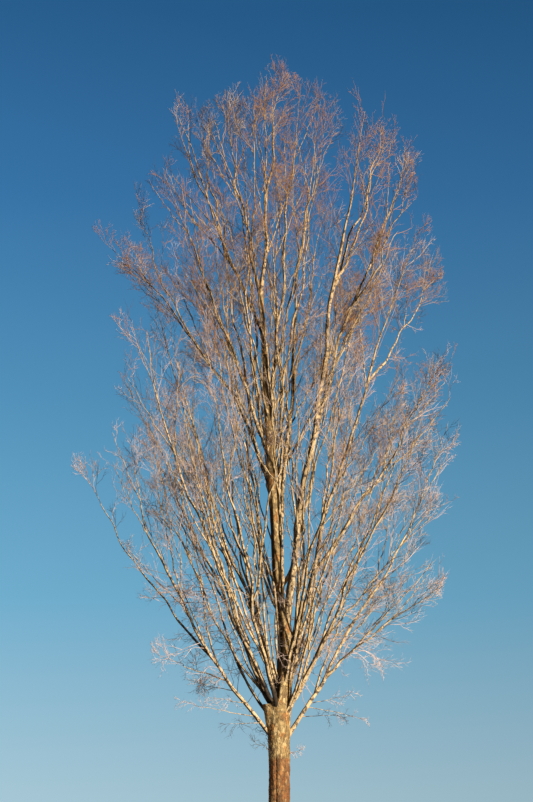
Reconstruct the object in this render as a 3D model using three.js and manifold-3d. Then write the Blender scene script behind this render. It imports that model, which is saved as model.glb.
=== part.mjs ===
// A tall upright elm in winter, with no leaves: one trunk, ascending boughs, and masses of bare twigs.
// Millimetres, +Z up. The origin is the middle of the flat cut at ground level.
// Azimuth is in degrees about the trunk: 0 points along +X, 90 along +Y. The crown is pictured from -Y.
import * as THREE from "three";
import { mergeVertices } from "three/addons/utils/BufferGeometryUtils.js";
import Module from "manifold-3d";

const wasm = await Module();
wasm.setup();

// Trunk: it stays one leader from the ground to the fork at its top, and leans a little to -X as it rises.
// Above its sawn stub it swings out to +X and back.
const TRUNK_TOP = 10700;
const TRUNK_LEAN = -330;
const LEAN_POWER = 2.6;
const SWING = { width: 125, height: 4300, spread: 760 };
const TRUNK_SIDES = 20;
const TRUNK_GIRTH = [
  { height: 0, radius: 284 },
  { height: 140, radius: 244 },
  { height: 420, radius: 208 },
  { height: 950, radius: 188 },
  { height: 1700, radius: 179 },
  { height: 2400, radius: 175 },
  { height: 2800, radius: 186 },
  { height: 3300, radius: 200 },
  { height: 3650, radius: 176 },
  { height: 4350, radius: 158 },
  { height: 4750, radius: 124 },
  { height: 5250, radius: 98 },
  { height: 7200, radius: 90 },
  { height: 8500, radius: 80 },
  { height: 9300, radius: 58 },
  { height: TRUNK_TOP, radius: 46 },
];
// A second leader was once sawn off level at the fork, and its stub is part of the trunk's left side.
const STUB = { x: -140, y: -20, foot: 2720, top: 3300, footRadius: 50, radius: 140, sides: 14 };
// Root flare: rounded buttresses that die away up the trunk.
const BUTTRESSES = 5;
const BUTTRESS_DEPTH = 0.16;
const BUTTRESS_HEIGHT = 330;

// Limbs. A limb's foot is a height on the trunk, or another limb's name and a share of its length. It ends
// at reach from the trunk's axis, at its azimuth and at height top. A bow above 0 spreads early and then
// turns up. Its bough is bare up to the share bough, where its mass of twigs begins. With bough 0 the mass
// stands on the limb's foot. Spread is the length of the mass's longest twigs.
const LIMBS = [
  // name, foot, azimuth, reach, top, bow, radius, bough, spread
  ["left_low", 2620, 188, 2660, 7900, 0.78, 34, 0.5, 900],
  ["low_left", ["left_low", 0.2], 184, 2150, 4150, 0.2, 12, 0, 420],
  ["left_far", ["left_low", 0.27], 176, 3640, 7720, 0.35, 20, 0.5, 700],
  ["left_rear", 3020, 150, 3210, 9420, 0.08, 36, 0.52, 1150],
  ["left_shoulder", 3000, 201, 2780, 9810, 0.14, 38, 0.5, 1150],
  ["left_inner", 3560, 143, 2910, 10960, 0.2, 36, 0.52, 1100],
  ["left_slim", 3500, 233, 2450, 9940, -0.85, 26, 0, 900],
  ["long_left", 6900, 173, 3450, 12050, -0.6, 34, 0.58, 800],
  ["long_left_upper", ["long_left", 0.55], 155, 3030, 13140, 0.5, 20, 0, 750],
  ["upper_left", 7500, 209, 2380, 12630, -0.1, 36, 0.52, 1000],
  ["crest_left", 9900, 176, 2070, 14550, 0.1, 30, 0.45, 800],
  ["crest_left_rear", ["crest_left", 0.41], 135, 2200, 14980, 0.25, 20, 0, 750],
  ["slim_front_left", 8300, 244, 2160, 11760, 0.2, 22, 0, 850],
  ["crown_left", 10660, 230, 1570, 13940, 0.1, 28, 0.4, 850],
  ["crown_top", 10690, 100, 180, 15560, 0.4, 36, 0.4, 850],
  ["crown_front", 8000, -72, 1310, 14350, -0.2, 38, 0.55, 900],
  ["crown_rear", 5050, 55, 1530, 15370, -0.6, 44, 0.62, 900],
  ["right_leader", 4450, -20, 1730, 14150, -0.14, 70, 0.645, 950],
  ["right_crest", ["right_leader", 0.623], 26, 2510, 14570, -0.1, 26, 0, 800],
  ["right_upper", ["right_leader", 0.288], 16, 2840, 13960, -0.35, 40, 0.52, 950],
  ["right_main", 3000, -25, 2760, 11530, -0.28, 46, 0.695, 1000],
  ["right_main_rear", ["right_main", 0.677], 23, 3290, 11800, 0.3, 26, 0, 800],
  ["right_outer", ["right_main", 0.29], -4, 2900, 9350, 0.22, 32, 0.5, 850],
  ["right_mid", 2840, -32, 2880, 7830, 0, 38, 0.5, 1050],
  ["right_rear", 2550, 20, 3440, 8100, 0.1, 37, 0.54, 1050],
  ["right_low", ["right_rear", 0.22], -2, 2770, 5250, -0.3, 22, 0.45, 850],
  ["rear_right_upper", 6200, 66, 2510, 13710, -0.2, 36, 0.5, 1000],
  ["front_left", 3020, 248, 3010, 8410, 0.2, 36, 0.5, 1050],
  ["front_right", 3620, -66, 3020, 8780, 0.1, 35, 0.5, 1050],
  ["front_upper", 4600, 268, 2600, 12320, -0.2, 37, 0.55, 1050],
  ["rear_left", 3420, 115, 3150, 8900, 0.15, 37, 0.5, 1050],
  ["rear_right", 3000, 65, 3140, 8410, 0.2, 38, 0.5, 1050],
  ["rear_upper", 5400, 99, 2680, 12460, -0.1, 36, 0.52, 1050],
].map(([name, foot, azimuth, reach, top, bow, radius, bough, spread]) => ({
  name, foot, azimuth, reach, top, bow, radius, bough, spread,
}));
const LIMB_SIDES = 6;
const STEM_SIDES = 4;
const LIMB_STEP = 650; // length of one straight stretch of a limb's solid
const LIMB_TAPER = 0.86; // share of its radius that a limb loses from foot to tip
const COLLAR_SWELL = 0.35; // swelling where a limb leaves its parent
const COLLAR_LENGTH = 220;
const KINK = 42; // how far a limb wanders from its even line
// Its wandering is waves along X and Y: turns over its whole length, and a share of the kink.
const WAVES = [
  { axis: "x", turns: 2.3, share: 1, seed: 0 },
  { axis: "x", turns: 5.7, share: 0.4, seed: 40 },
  { axis: "y", turns: 1.9, share: 1, seed: 80 },
  { axis: "y", turns: 6.1, share: 0.4, seed: 120 },
];
const CLEAR = 0.4; // gap between a limb and what it grows from
const NUDGE = 0.005; // share of a limb each way over which its heading is read

// Twigs. They leave a mass's stem in turn round it, and each again bears shorter ones.
const GOLDEN_SHARE = 0.618034;
const GOLDEN_TURN = THREE.MathUtils.degToRad(137.508);
// An order says how many a stem bears, their thickness and angle, and the share of the stem that bears them.
const TWIG_SIDES = 3;
const FIRST_ORDER = { count: 8, steps: 2, radius: 9, angle: 34, lift: 0.3, start: 0.04, end: 0.97 };
const SECOND_ORDER = { count: 2, steps: 1, radius: 5.5, angle: 40, lift: 0.25, start: 0.3, end: 0.92 };
const SECOND_SHARE = 0.52; // length of a second-order twig against the one that bears it
const TIP_SHORTENING = 0.62; // how much shorter twigs are at the stem's tip than at its foot
const STEM_OVERLAP = 0.01; // share of a limb by which a stem starts inside its bough, before the cut
const BARE_FOOT = 0.4; // share of a stem on the trunk that bears no twigs
const CELL_MARGIN = 48; // half of it is kept free on each side of the border between two masses
const TWIG_CLEARANCE = 14; // least space between a twig and a limb
const SAMPLES = 6; // places along a twig that are tested
const STEEP = 0.7; // a twig that rises more than this is turned by the X axis, and any other by Z
const SMALLEST_DETAIL = 1.5; // edges that stray less than this from a mass's shape are taken out

// The crown's outer shape: a radius at each height, from a shoulder down to the lowest twigs and up to the
// top. A mass whose own limb reaches further may fill out to its limb's reach, and a little above its tip.
const CROWN = {
  foot: 2700,
  footRadius: 700,
  footPower: 1.6,
  shoulder: 6600,
  radius: 3300,
  top: 15620,
  topPower: 4.2,
};
const BEYOND_REACH = 1.03;
const HEADROOM = 120;
const BEAD_SPACING = 60; // the limbs are tested for clearance as rows of beads this far apart

// Each twig's angle and length vary by chance about its order's own, from seeds of its own.
const ANGLE_RANGE = [0.8, 1.2];
const LENGTH_RANGE = [0.75, 1.15];
const DRAWS = 3; // chances kept for each twig
const LIMB_SEEDS = 100;
const TWIG_SEEDS = 10;

const MERGE_DISTANCE = 1e-3;

const BARK = new THREE.MeshStandardMaterial({ color: 0x8f7a5c, roughness: 0.9, metalness: 0 });
const BOUGH_BARK = new THREE.MeshStandardMaterial({ color: 0xa08a68, roughness: 0.85, metalness: 0 });
const TWIG_BARK = new THREE.MeshStandardMaterial({ color: 0x9a7563, roughness: 0.8, metalness: 0 });

const fraction = (value) => value - Math.floor(value);

// A repeatable number from 0 to 1 for each seed.
const chance = (seed) => fraction(Math.sin(seed * 12.9898 + 78.233) * 43758.5453);

const between = ([low, high], share) => low + (high - low) * share;

// A closed tube: a cylinder's rings are carried along a path, at the radius the path has there.
// Grow makes it larger all round and at both ends.
function sweep(path, { sides, steps, from = 0, to = 1, grow = 0, shape = () => 1 }) {
  const tube = new THREE.CylinderGeometry(1, 1, 1, sides, steps);
  const places = tube.getAttribute("position");
  const reference = path.reference;
  const vertex = new THREE.Vector3();
  for (let i = 0; i < places.count; i++) {
    vertex.fromBufferAttribute(places, i);
    const share = vertex.y + 0.5;
    const t = from + (to - from) * share;
    const tangent = path.heading(t);
    const across = new THREE.Vector3().crossVectors(reference, tangent).normalize();
    const along = new THREE.Vector3().crossVectors(across, tangent);
    const radius = (path.radius(t) + grow) * shape(t, Math.atan2(vertex.z, vertex.x));
    const beyond = share === 0 ? -grow : share === 1 ? grow : 0;
    const point = path.point(t).addScaledVector(tangent, beyond);
    point.addScaledVector(across, vertex.x * radius).addScaledVector(along, vertex.z * radius);
    places.setXYZ(i, point.x, point.y, point.z);
  }
  return solidOf(tube);
}

// A twig tapers to a point, and is a cone bent along its path.
function spike(path, { steps }) {
  const cone = new THREE.ConeGeometry(1, 1, TWIG_SIDES, steps);
  const places = cone.getAttribute("position");
  const vertex = new THREE.Vector3();
  for (let i = 0; i < places.count; i++) {
    vertex.fromBufferAttribute(places, i);
    const tangent = path.heading(vertex.y + 0.5);
    const across = new THREE.Vector3().crossVectors(path.reference, tangent).normalize();
    const along = new THREE.Vector3().crossVectors(across, tangent);
    const point = path.point(vertex.y + 0.5);
    point.addScaledVector(across, vertex.x * path.thickness);
    point.addScaledVector(along, vertex.z * path.thickness);
    places.setXYZ(i, point.x, point.y, point.z);
  }
  return solidOf(cone);
}

function solidOf(geometry) {
  geometry.deleteAttribute("normal");
  geometry.deleteAttribute("uv");
  const merged = mergeVertices(geometry, MERGE_DISTANCE);
  return new wasm.Manifold(
    new wasm.Mesh({
      numProp: 3,
      vertProperties: merged.getAttribute("position").array,
      triVerts: new Uint32Array(merged.index.array),
    }),
  );
}

// The largest body of a cut solid: the scraps that a cut leaves beside it are dropped.
function mainBody(solid) {
  return solid.decompose().reduce((best, body) => (body.volume() > best.volume() ? body : best));
}

function geometryOf(solid) {
  const mesh = solid.getMesh();
  const geometry = new THREE.BufferGeometry();
  geometry.setAttribute("position", new THREE.BufferAttribute(mesh.vertProperties, 3));
  geometry.setIndex(new THREE.BufferAttribute(mesh.triVerts, 1));
  geometry.computeVertexNormals();
  return geometry;
}

const trunk = {
  length: TRUNK_TOP,
  reference: new THREE.Vector3(0, 1, 0),
  point: (t) => {
    const swinging = SWING.width * Math.exp(-(((TRUNK_TOP * t - SWING.height) / SWING.spread) ** 2));
    return new THREE.Vector3(TRUNK_LEAN * t ** LEAN_POWER + swinging, 0, TRUNK_TOP * t);
  },
  heading: (t) => trunk.point(t + NUDGE).sub(trunk.point(Math.max(0, t - NUDGE))).normalize(),
  radius: (t) => girthAt(TRUNK_TOP * t),
};

function girthAt(height) {
  const upper = Math.max(1, TRUNK_GIRTH.findIndex((ring) => ring.height >= height));
  const [low, high] = [TRUNK_GIRTH[upper - 1], TRUNK_GIRTH[upper]];
  return THREE.MathUtils.mapLinear(height, low.height, high.height, low.radius, high.radius);
}

function flare(t, angle) {
  const dying = Math.exp(-(TRUNK_TOP * t) / BUTTRESS_HEIGHT);
  return 1 + BUTTRESS_DEPTH * dying * Math.cos(BUTTRESSES * angle);
}

function stubSolid(grow) {
  const height = STUB.top - STUB.foot + grow;
  const stub = new THREE.CylinderGeometry(STUB.radius + grow, STUB.footRadius + grow, height, STUB.sides);
  stub.rotateX(Math.PI / 2);
  stub.translate(STUB.x, STUB.y, STUB.foot + height / 2);
  return solidOf(stub);
}

// The trunk's rings stand at the heights in its girth list, which a cylinder's even rings are moved to.
// Its lowest ring is level, so that the cut at the ground is flat.
function trunkSolid(grow = 0) {
  const rings = TRUNK_GIRTH.length - 1;
  const even = {
    ...trunk,
    point: (s) => trunk.point(ringShare(s)),
    heading: (s) => (s === 0 ? new THREE.Vector3(0, 0, 1) : trunk.heading(ringShare(s))),
    radius: (s) => trunk.radius(ringShare(s)),
  };
  const shape = (s, angle) => flare(ringShare(s), angle);
  return sweep(even, { sides: TRUNK_SIDES, steps: rings, grow, shape }).add(stubSolid(grow));
}

const ringShare = (s) => TRUNK_GIRTH[Math.round(s * (TRUNK_GIRTH.length - 1))].height / TRUNK_TOP;

// A limb's line: height grows evenly, and its plan position follows a bowed line from foot to tip.
function limbPath(limb, index) {
  const [parent, at] = Array.isArray(limb.foot)
    ? [paths.get(limb.foot[0]), limb.foot[1]]
    : [trunk, limb.foot / TRUNK_TOP];
  const azimuth = THREE.MathUtils.degToRad(limb.azimuth);
  const foot = parent.point(at);
  const tip = new THREE.Vector3(limb.reach * Math.cos(azimuth), limb.reach * Math.sin(azimuth), limb.top);
  const span = tip.clone().sub(foot);
  const length = span.length();
  const point = (t) => {
    const out = t * (1 + limb.bow * (1 - t));
    const place = new THREE.Vector3(foot.x + span.x * out, foot.y + span.y * out, foot.z + span.z * t);
    for (const { axis, turns, share, seed } of WAVES) {
      const wave = Math.sin(2 * Math.PI * (turns * t + chance(index + seed)));
      place[axis] += KINK * share * Math.sin(Math.PI * t) * wave;
    }
    return place;
  };
  return {
    length,
    point,
    reference: new THREE.Vector3(-Math.sin(azimuth), Math.cos(azimuth), 0),
    heading: (t) => point(t + NUDGE).sub(point(t - NUDGE)).normalize(),
    radius: (t) => {
      const collar = 1 + COLLAR_SWELL * Math.exp((-t * length) / COLLAR_LENGTH);
      return limb.radius * (1 - LIMB_TAPER * t) * collar;
    },
  };
}

// A twig's line leaves its parent at an angle and bends upwards.
function twigPath(root, direction, length, lift, thickness) {
  const point = (s) =>
    root.clone().addScaledVector(direction, length * s).add(new THREE.Vector3(0, 0, lift * length * s * s));
  return {
    point,
    length,
    thickness,
    reference: Math.abs(direction.z) > STEEP ? new THREE.Vector3(1, 0, 0) : new THREE.Vector3(0, 0, 1),
    heading: (s) => direction.clone().add(new THREE.Vector3(0, 0, 2 * lift * s)).normalize(),
  };
}

// The direction of a shoot that leaves a heading at an angle, on the side that turn says.
function shootDirection(heading, angle, turn) {
  const side = new THREE.Vector3().crossVectors(heading, new THREE.Vector3(1, 0, 0)).normalize();
  side.applyAxisAngle(heading, turn);
  return heading.clone().multiplyScalar(Math.cos(angle)).addScaledVector(side, Math.sin(angle));
}

// The shoots that an order's rule gives on a stem, at places that stay well spread however many there are.
function shoots(stem, order, seed, longest) {
  return Array.from({ length: order.count }, (_, k) => {
    const share = fraction(0.5 + k * GOLDEN_SHARE);
    const t = order.start + (order.end - order.start) * share;
    const [angleChance, lengthChance] = [chance(seed + DRAWS * k), chance(seed + DRAWS * k + 1)];
    const angle = THREE.MathUtils.degToRad(order.angle) * between(ANGLE_RANGE, angleChance);
    const turn = GOLDEN_TURN * k + 2 * Math.PI * chance(seed);
    const length = longest * (1 - TIP_SHORTENING * share) * between(LENGTH_RANGE, lengthChance);
    const direction = shootDirection(stem.heading(t), angle, turn);
    return twigPath(stem.point(t), direction, length, order.lift, order.radius);
  });
}

function crownRadius(height) {
  if (height < CROWN.shoulder) {
    const rise = Math.max(0, (height - CROWN.foot) / (CROWN.shoulder - CROWN.foot));
    return CROWN.footRadius + (CROWN.radius - CROWN.footRadius) * (1 - (1 - rise) ** CROWN.footPower);
  }
  const rise = Math.min(1, (height - CROWN.shoulder) / (CROWN.top - CROWN.shoulder));
  return CROWN.radius * (1 - rise ** CROWN.topPower);
}

// The part of a limb from one share of its length to another, as a path of its own.
function stretch(path, from, to) {
  const place = (t) => from + (to - from) * t;
  return {
    ...path,
    length: path.length * (to - from),
    point: (t) => path.point(place(t)),
    heading: (t) => path.heading(place(t)),
    radius: (t) => path.radius(place(t)),
  };
}

function beads(path, spacing) {
  const count = Math.max(2, Math.ceil(path.length / spacing));
  const bead = (t) => ({ place: path.point(t), radius: path.radius(t) });
  return Array.from({ length: count + 1 }, (_, i) => bead(i / count));
}

function nearest(place, row, ignore = 0) {
  let least = Infinity;
  for (const bead of row) least = Math.min(least, bead.place.distanceTo(place) - ignore * bead.radius);
  return least;
}

const paths = new Map();
LIMBS.forEach((limb, index) => paths.set(limb.name, limbPath(limb, index)));
const trunkBeads = beads({ ...trunk, length: TRUNK_TOP }, BEAD_SPACING);
const boughBeads = new Map();
const stemBeads = new Map();
for (const limb of LIMBS) {
  const path = paths.get(limb.name);
  if (limb.bough > 0) boughBeads.set(limb.name, beads(stretch(path, 0, limb.bough), BEAD_SPACING));
  stemBeads.set(limb.name, beads(stretch(path, limb.bough, 1), BEAD_SPACING));
}

// True where a twig keeps to its own mass's space, stays in the crown and touches no limb.
function fits(twig, limb) {
  for (let i = 1; i <= SAMPLES; i++) {
    const place = twig.point(i / SAMPLES);
    const reach = Math.max(crownRadius(place.z), BEYOND_REACH * limb.reach);
    if (Math.hypot(place.x, place.y) > reach || place.z > limb.top + HEADROOM) return false;
    const own = nearest(place, stemBeads.get(limb.name));
    for (const [other, row] of stemBeads) {
      if (other !== limb.name && nearest(place, row) < own + CELL_MARGIN) return false;
    }
    const limbs = [trunkBeads, ...boughBeads.values()];
    if (limbs.some((row) => nearest(place, row, 1) < TWIG_CLEARANCE)) return false;
  }
  return true;
}

function steps(path) {
  return Math.max(2, Math.round(path.length / LIMB_STEP));
}

// A mass's stem goes on from its bough's tip, or stands on the limb's foot where there is no bough.
function stemSolid(limb, grow = 0) {
  const stem = stretch(paths.get(limb.name), Math.max(0, limb.bough - STEM_OVERLAP), 1);
  return sweep(stem, { sides: STEM_SIDES, steps: steps(stem), grow });
}

function massSolid(limb, index) {
  const bearing = stretch(paths.get(limb.name), Math.max(limb.bough, BARE_FOOT), 1);
  const parts = [stemSolid(limb)];
  const seed = LIMB_SEEDS * index;
  for (const [k, first] of shoots(bearing, FIRST_ORDER, seed, limb.spread).entries()) {
    if (!fits(first, limb)) continue;
    parts.push(spike(first, FIRST_ORDER));
    const longest = first.length * SECOND_SHARE;
    for (const second of shoots(first, SECOND_ORDER, TWIG_SEEDS * (seed + k), longest)) {
      if (fits(second, limb)) parts.push(spike(second, SECOND_ORDER));
    }
  }
  return wasm.Manifold.union(parts).asOriginal().simplify(SMALLEST_DETAIL);
}

const tree = new THREE.Group();

function add(name, solid, material) {
  const mesh = new THREE.Mesh(geometryOf(solid), material);
  mesh.name = name;
  tree.add(mesh);
}

add("trunk", trunkSolid(), BARK);

// Every limb is cut clear of what it grows from, and of the limbs beside it in the crotch.
let grown = trunkSolid(CLEAR);
for (const limb of LIMBS.filter((each) => each.bough > 0)) {
  const path = stretch(paths.get(limb.name), 0, limb.bough);
  const shape = { sides: LIMB_SIDES, steps: steps(path) };
  add(`bough_${limb.name}`, mainBody(sweep(path, shape).subtract(grown)), BOUGH_BARK);
  grown = grown.add(sweep(path, { ...shape, grow: CLEAR }));
}
LIMBS.forEach((limb, index) => {
  add(`mass_${limb.name}`, mainBody(massSolid(limb, index).subtract(grown)), TWIG_BARK);
  grown = grown.add(stemSolid(limb, CLEAR));
});

export default tree;
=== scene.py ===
import math

import bpy
import numpy as np
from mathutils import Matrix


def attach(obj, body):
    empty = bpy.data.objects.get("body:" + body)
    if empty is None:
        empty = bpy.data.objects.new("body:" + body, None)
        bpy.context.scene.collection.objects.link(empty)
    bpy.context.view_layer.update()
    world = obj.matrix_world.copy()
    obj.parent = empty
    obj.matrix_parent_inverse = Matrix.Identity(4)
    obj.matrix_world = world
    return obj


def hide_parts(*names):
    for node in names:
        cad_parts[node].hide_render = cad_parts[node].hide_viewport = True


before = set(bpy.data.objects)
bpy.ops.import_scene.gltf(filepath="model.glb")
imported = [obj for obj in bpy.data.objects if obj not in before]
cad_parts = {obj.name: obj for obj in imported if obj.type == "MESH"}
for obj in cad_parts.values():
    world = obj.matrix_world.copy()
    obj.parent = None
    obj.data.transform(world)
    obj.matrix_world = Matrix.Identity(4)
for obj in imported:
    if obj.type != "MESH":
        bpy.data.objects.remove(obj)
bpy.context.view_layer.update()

# Viewer
# Someone stands 24 m off on level ground, with the eyes at 1.55 m and the head tilted back, so the trunk's
# foot is below the picture and the crown leans away at its top. The picture is upright.
VIEWER_PLACE = (-0.22, -24.0, 1.55)
VIEWER_TILT = 16.5
PICTURE_HEIGHT = 802
FOCAL_PIXELS = 1388
FILM_HEIGHT = 36.0
viewer = bpy.data.objects.new("viewer", bpy.data.cameras.new("viewer"))
bpy.context.scene.collection.objects.link(viewer)
viewer.location = VIEWER_PLACE
viewer.rotation_euler = (math.radians(90 + VIEWER_TILT), 0, 0)
viewer.data.sensor_fit = "VERTICAL"
viewer.data.sensor_height = FILM_HEIGHT
viewer.data.lens = FILM_HEIGHT * FOCAL_PIXELS / PICTURE_HEIGHT
viewer.data.clip_end = 300
bpy.context.scene.camera = viewer


# Trunk
# One leader of living wood under flaking bark, rooted at its flared foot. A second leader was fused to its
# left side and sawn off level, so a groove runs down between the two and a flat stub is left at the fork.
TRUNK_TOP = 10.7
TRUNK_LEAN = -0.33
LEAN_POWER = 2.6
SWING = {"width": 0.125, "height": 4.3, "spread": 0.76}
GIRTH_HEIGHTS = [0, 0.14, 0.42, 0.95, 1.7, 2.4, 2.8, 3.3, 3.65, 4.35, 4.75, 5.25, 7.2, 8.5, 9.3, TRUNK_TOP]
GIRTH_RADII = [
    0.284, 0.244, 0.208, 0.188, 0.179, 0.175, 0.186, 0.2,
    0.176, 0.158, 0.124, 0.098, 0.09, 0.08, 0.058, 0.046,
]
BUTTRESSES = {"count": 5, "depth": 0.16, "height": 0.33}
STUB = {"x": -0.14, "y": -0.02, "foot": 2.72, "top": 3.3, "foot_radius": 0.05, "radius": 0.14}
# The trunk and the stub are joined by this power: the higher it is, the sharper the crease between them.
CREASE_POWER = 30
GROOVE = {
    "azimuth": -109, "width": 4.5, "depth": 0.02, "top": 2.5, "fading": 0.08, "left_above": 0.1,
    "past_stub": 0.05, "full_from": 0.5, "at_foot": 0.2,
}
BURL = {"azimuth": -76, "height": 4.28, "spread": 36, "rise": 0.27, "depth": 0.032}
BURL_RIM = {"out": 1.12, "width": 0.16, "above": 0.3, "depth": 0.6}
FOLD = {
    "azimuth": -103, "width": 4, "back": 110, "foot": 3.3, "opening": 0.12, "top": 7.3, "closing": 0.8,
    "depth": 0.38,
}
BARK_PLATE = {"around": 30, "along": 0.062, "depth": 0.0055, "seed": 3.0, "seam": 0.6, "steepness": 2.4}
# Lumps under the plates, a finger and a hand wide: size, share of the plates' depth, and seed.
BARK_LUMPS = [(0.045, 0.8, 5.0), (0.19, 1.1, 9.0)]
# The relief is full where the trunk is this thick, and fades in over the first of its height from the cut.
FULL_RELIEF = {"radius": 0.17, "least": 0.45, "height": 0.03}
# The trunk's rings: where each even stretch begins and ends, and how many it has. Between the first two lies
# the stub's sawn ledge, with rings of its own close by, and its edge is drawn in a little.
RING_STRETCHES = [(0, STUB["top"] - 0.012, 250), (STUB["top"] + 0.016, 5.2, 120), (5.23, TRUNK_TOP, 180)]
LEDGE = {"rings": np.array([-0.004, 0, 0.0015]), "drawn_in": 0.006, "wider_by": 0.01}
TRUNK_SIDES = 96


def fraction(value):
    """What is left of each number above its whole part."""
    return value - np.floor(value)


def chance(seed):
    """A repeatable number from 0 to 1 for each seed: the fraction of a large sine of it."""
    return fraction(np.sin(np.asarray(seed, float) * 12.9898 + 78.233) * 43758.5453)


def rising(value, start, span, least=0.0, most=1.0):
    """How far a value is past a start, as a share of a span, between two limits. A span below 0 falls."""
    return np.clip((value - start) / span, least, most)


def trunk_line(height):
    """The trunk's middle at each height: it leans by a power of the height, with one swing out and back."""
    height = np.asarray(height, float)
    lean = TRUNK_LEAN * (np.maximum(height, 0) / TRUNK_TOP) ** LEAN_POWER
    swing = SWING["width"] * np.exp(-(((height - SWING["height"]) / SWING["spread"]) ** 2))
    return np.stack([lean + swing, np.zeros_like(height), height], -1)


def lumps(places, size, seed):
    """Soft lumps from -1 to 1: a chance at each corner of a lattice, blended between the eight nearest."""
    steps = places / size
    low = np.floor(steps)
    blend = steps - low
    blend = blend * blend * (3 - 2 * blend)
    total = np.zeros(places.shape[:-1])
    for corner in np.ndindex(2, 2, 2):
        near = np.where(corner, blend, 1 - blend).prod(-1)
        total += near * chance((low + corner) @ np.array([1.0, 57.31, 113.7]) + seed)
    return 2 * total - 1


def plates(around, along, seed):
    """How far each place lies inside its bark plate, 0 on a seam and 1 well inside.

    The surface is cut into the cells of points strewn one to a square. The depth is the difference of the
    distances to the two nearest points, times the steepness of a plate's edge. Around counts whole squares,
    so the pattern closes on itself.
    """
    low_a, low_b = np.floor(around), np.floor(along)
    count = max(int(round(around.max() - around.min())), 1)
    first = np.full(around.shape, 9.0)
    second = np.full(around.shape, 9.0)
    for step_a, step_b in np.ndindex(3, 3):
        cell_a, cell_b = low_a + step_a - 1, low_b + step_b - 1
        key = np.mod(cell_a, count) * 7.13 + cell_b * 31.7 + seed
        apart = np.hypot(cell_a + chance(key) - around, cell_b + chance(key + 0.37) - along)
        second = np.minimum(second, np.maximum(first, apart))
        first = np.minimum(first, apart)
    return np.clip((second - first) * BARK_PLATE["steepness"], 0, 1)


def near_angle(azimuth, middle):
    """The angle in degrees from a middle azimuth, the short way round."""
    return np.mod(np.degrees(azimuth) - middle + 180, 360) - 180


def in_fold(height, azimuth):
    """1 where the leader's left side lies back behind its fold, and 0 elsewhere, with soft borders.

    It is the product of two S-curves round the trunk, one at the fold and one far behind it, and two slopes
    in height, one where the fold opens and one where it closes.
    """
    past = near_angle(azimuth, FOLD["azimuth"])
    from_back = (past + FOLD["back"]) / (3 * FOLD["width"])
    behind = 1 / (1 + np.exp(past / FOLD["width"])) / (1 + np.exp(-from_back))
    opened = rising(height, FOLD["foot"], FOLD["opening"])
    return behind * opened * rising(height, FOLD["top"], -FOLD["closing"])


def trunk_radius(height, azimuth):
    """The trunk's radius at each height and azimuth.

    It is the girth there, times the flare of the buttresses, joined softly to the leaning stub beside it,
    less the groove and, above the stub, the fold behind which the leader's left side lies back, plus the
    oval burl, whose lower side has a sunk rim.
    """
    girth = np.interp(height, GIRTH_HEIGHTS, GIRTH_RADII)
    swell = BUTTRESSES["depth"] * np.exp(-height / BUTTRESSES["height"])
    flare = swell * np.cos(BUTTRESSES["count"] * azimuth)
    up_stub = (height - STUB["foot"]) / (STUB["top"] - STUB["foot"])
    stub = STUB["foot_radius"] + (STUB["radius"] - STUB["foot_radius"]) * np.clip(up_stub, 0, 1)
    across = STUB["x"] - trunk_line(height)[..., 0]
    apart, toward = np.hypot(across, STUB["y"]), np.arctan2(STUB["y"], across)
    turn = azimuth - toward
    inside = stub**2 - (apart * np.sin(turn)) ** 2
    reach = np.where(inside > 0, apart * np.cos(turn) + np.sqrt(np.maximum(inside, 0)), 0)
    reach = np.where((up_stub > 0) & (up_stub <= 1.0001), np.maximum(reach, 0), 0)
    radius = ((girth * (1 + flare)) ** CREASE_POWER + reach**CREASE_POWER) ** (1 / CREASE_POWER)
    off = near_angle(azimuth, GROOVE["azimuth"]) / GROOVE["width"]
    above = GROOVE["left_above"]
    deep = above + (1 - above) / (1 + np.exp((height - GROOVE["top"]) / GROOVE["fading"]))
    deep = deep * (height < STUB["top"] + GROOVE["past_stub"])
    deep = deep * rising(height, 0, GROOVE["full_from"], GROOVE["at_foot"])
    radius = radius - GROOVE["depth"] * deep * np.exp(-off * off)
    radius = radius - FOLD["depth"] * girth * in_fold(height, azimuth)
    up = (height - BURL["height"]) / BURL["rise"]
    out = np.hypot(near_angle(azimuth, BURL["azimuth"]) / BURL["spread"], up)
    rim = np.exp(-(((out - BURL_RIM["out"]) / BURL_RIM["width"]) ** 2)) * rising(up, BURL_RIM["above"], -1)
    return radius + BURL["depth"] * np.exp(-(out**4)) - BURL_RIM["depth"] * BURL["depth"] * rim


def bark_relief(place, azimuth, height):
    """How far the bark stands out from the wood: plates with sunk seams, on lumps of two sizes."""
    around, along = azimuth / (2 * np.pi) * BARK_PLATE["around"], height / BARK_PLATE["along"]
    relief = BARK_PLATE["depth"] * (plates(around, along, BARK_PLATE["seed"]) - BARK_PLATE["seam"])
    for size, share, seed in BARK_LUMPS:
        relief = relief + BARK_PLATE["depth"] * share * lumps(place, size, seed)
    thickness = np.interp(height, GIRTH_HEIGHTS, GIRTH_RADII)
    relief = relief * np.clip(thickness / FULL_RELIEF["radius"], FULL_RELIEF["least"], 1)
    return relief * rising(height, 0, FULL_RELIEF["height"])


def tube_walls(count, sides):
    """A tube's walls as triangles, two to a side, with a ring's vertices and the one after each."""
    low = np.arange(count - 1)[:, None] * sides
    here = np.arange(sides)
    after = (here + 1) % sides
    a, b, c, d = low + here, low + after, low + sides + after, low + sides + here
    return np.concatenate([np.stack([a, b, c], -1), np.stack([a, c, d], -1)], 1).reshape(-1, 3), here, after


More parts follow.
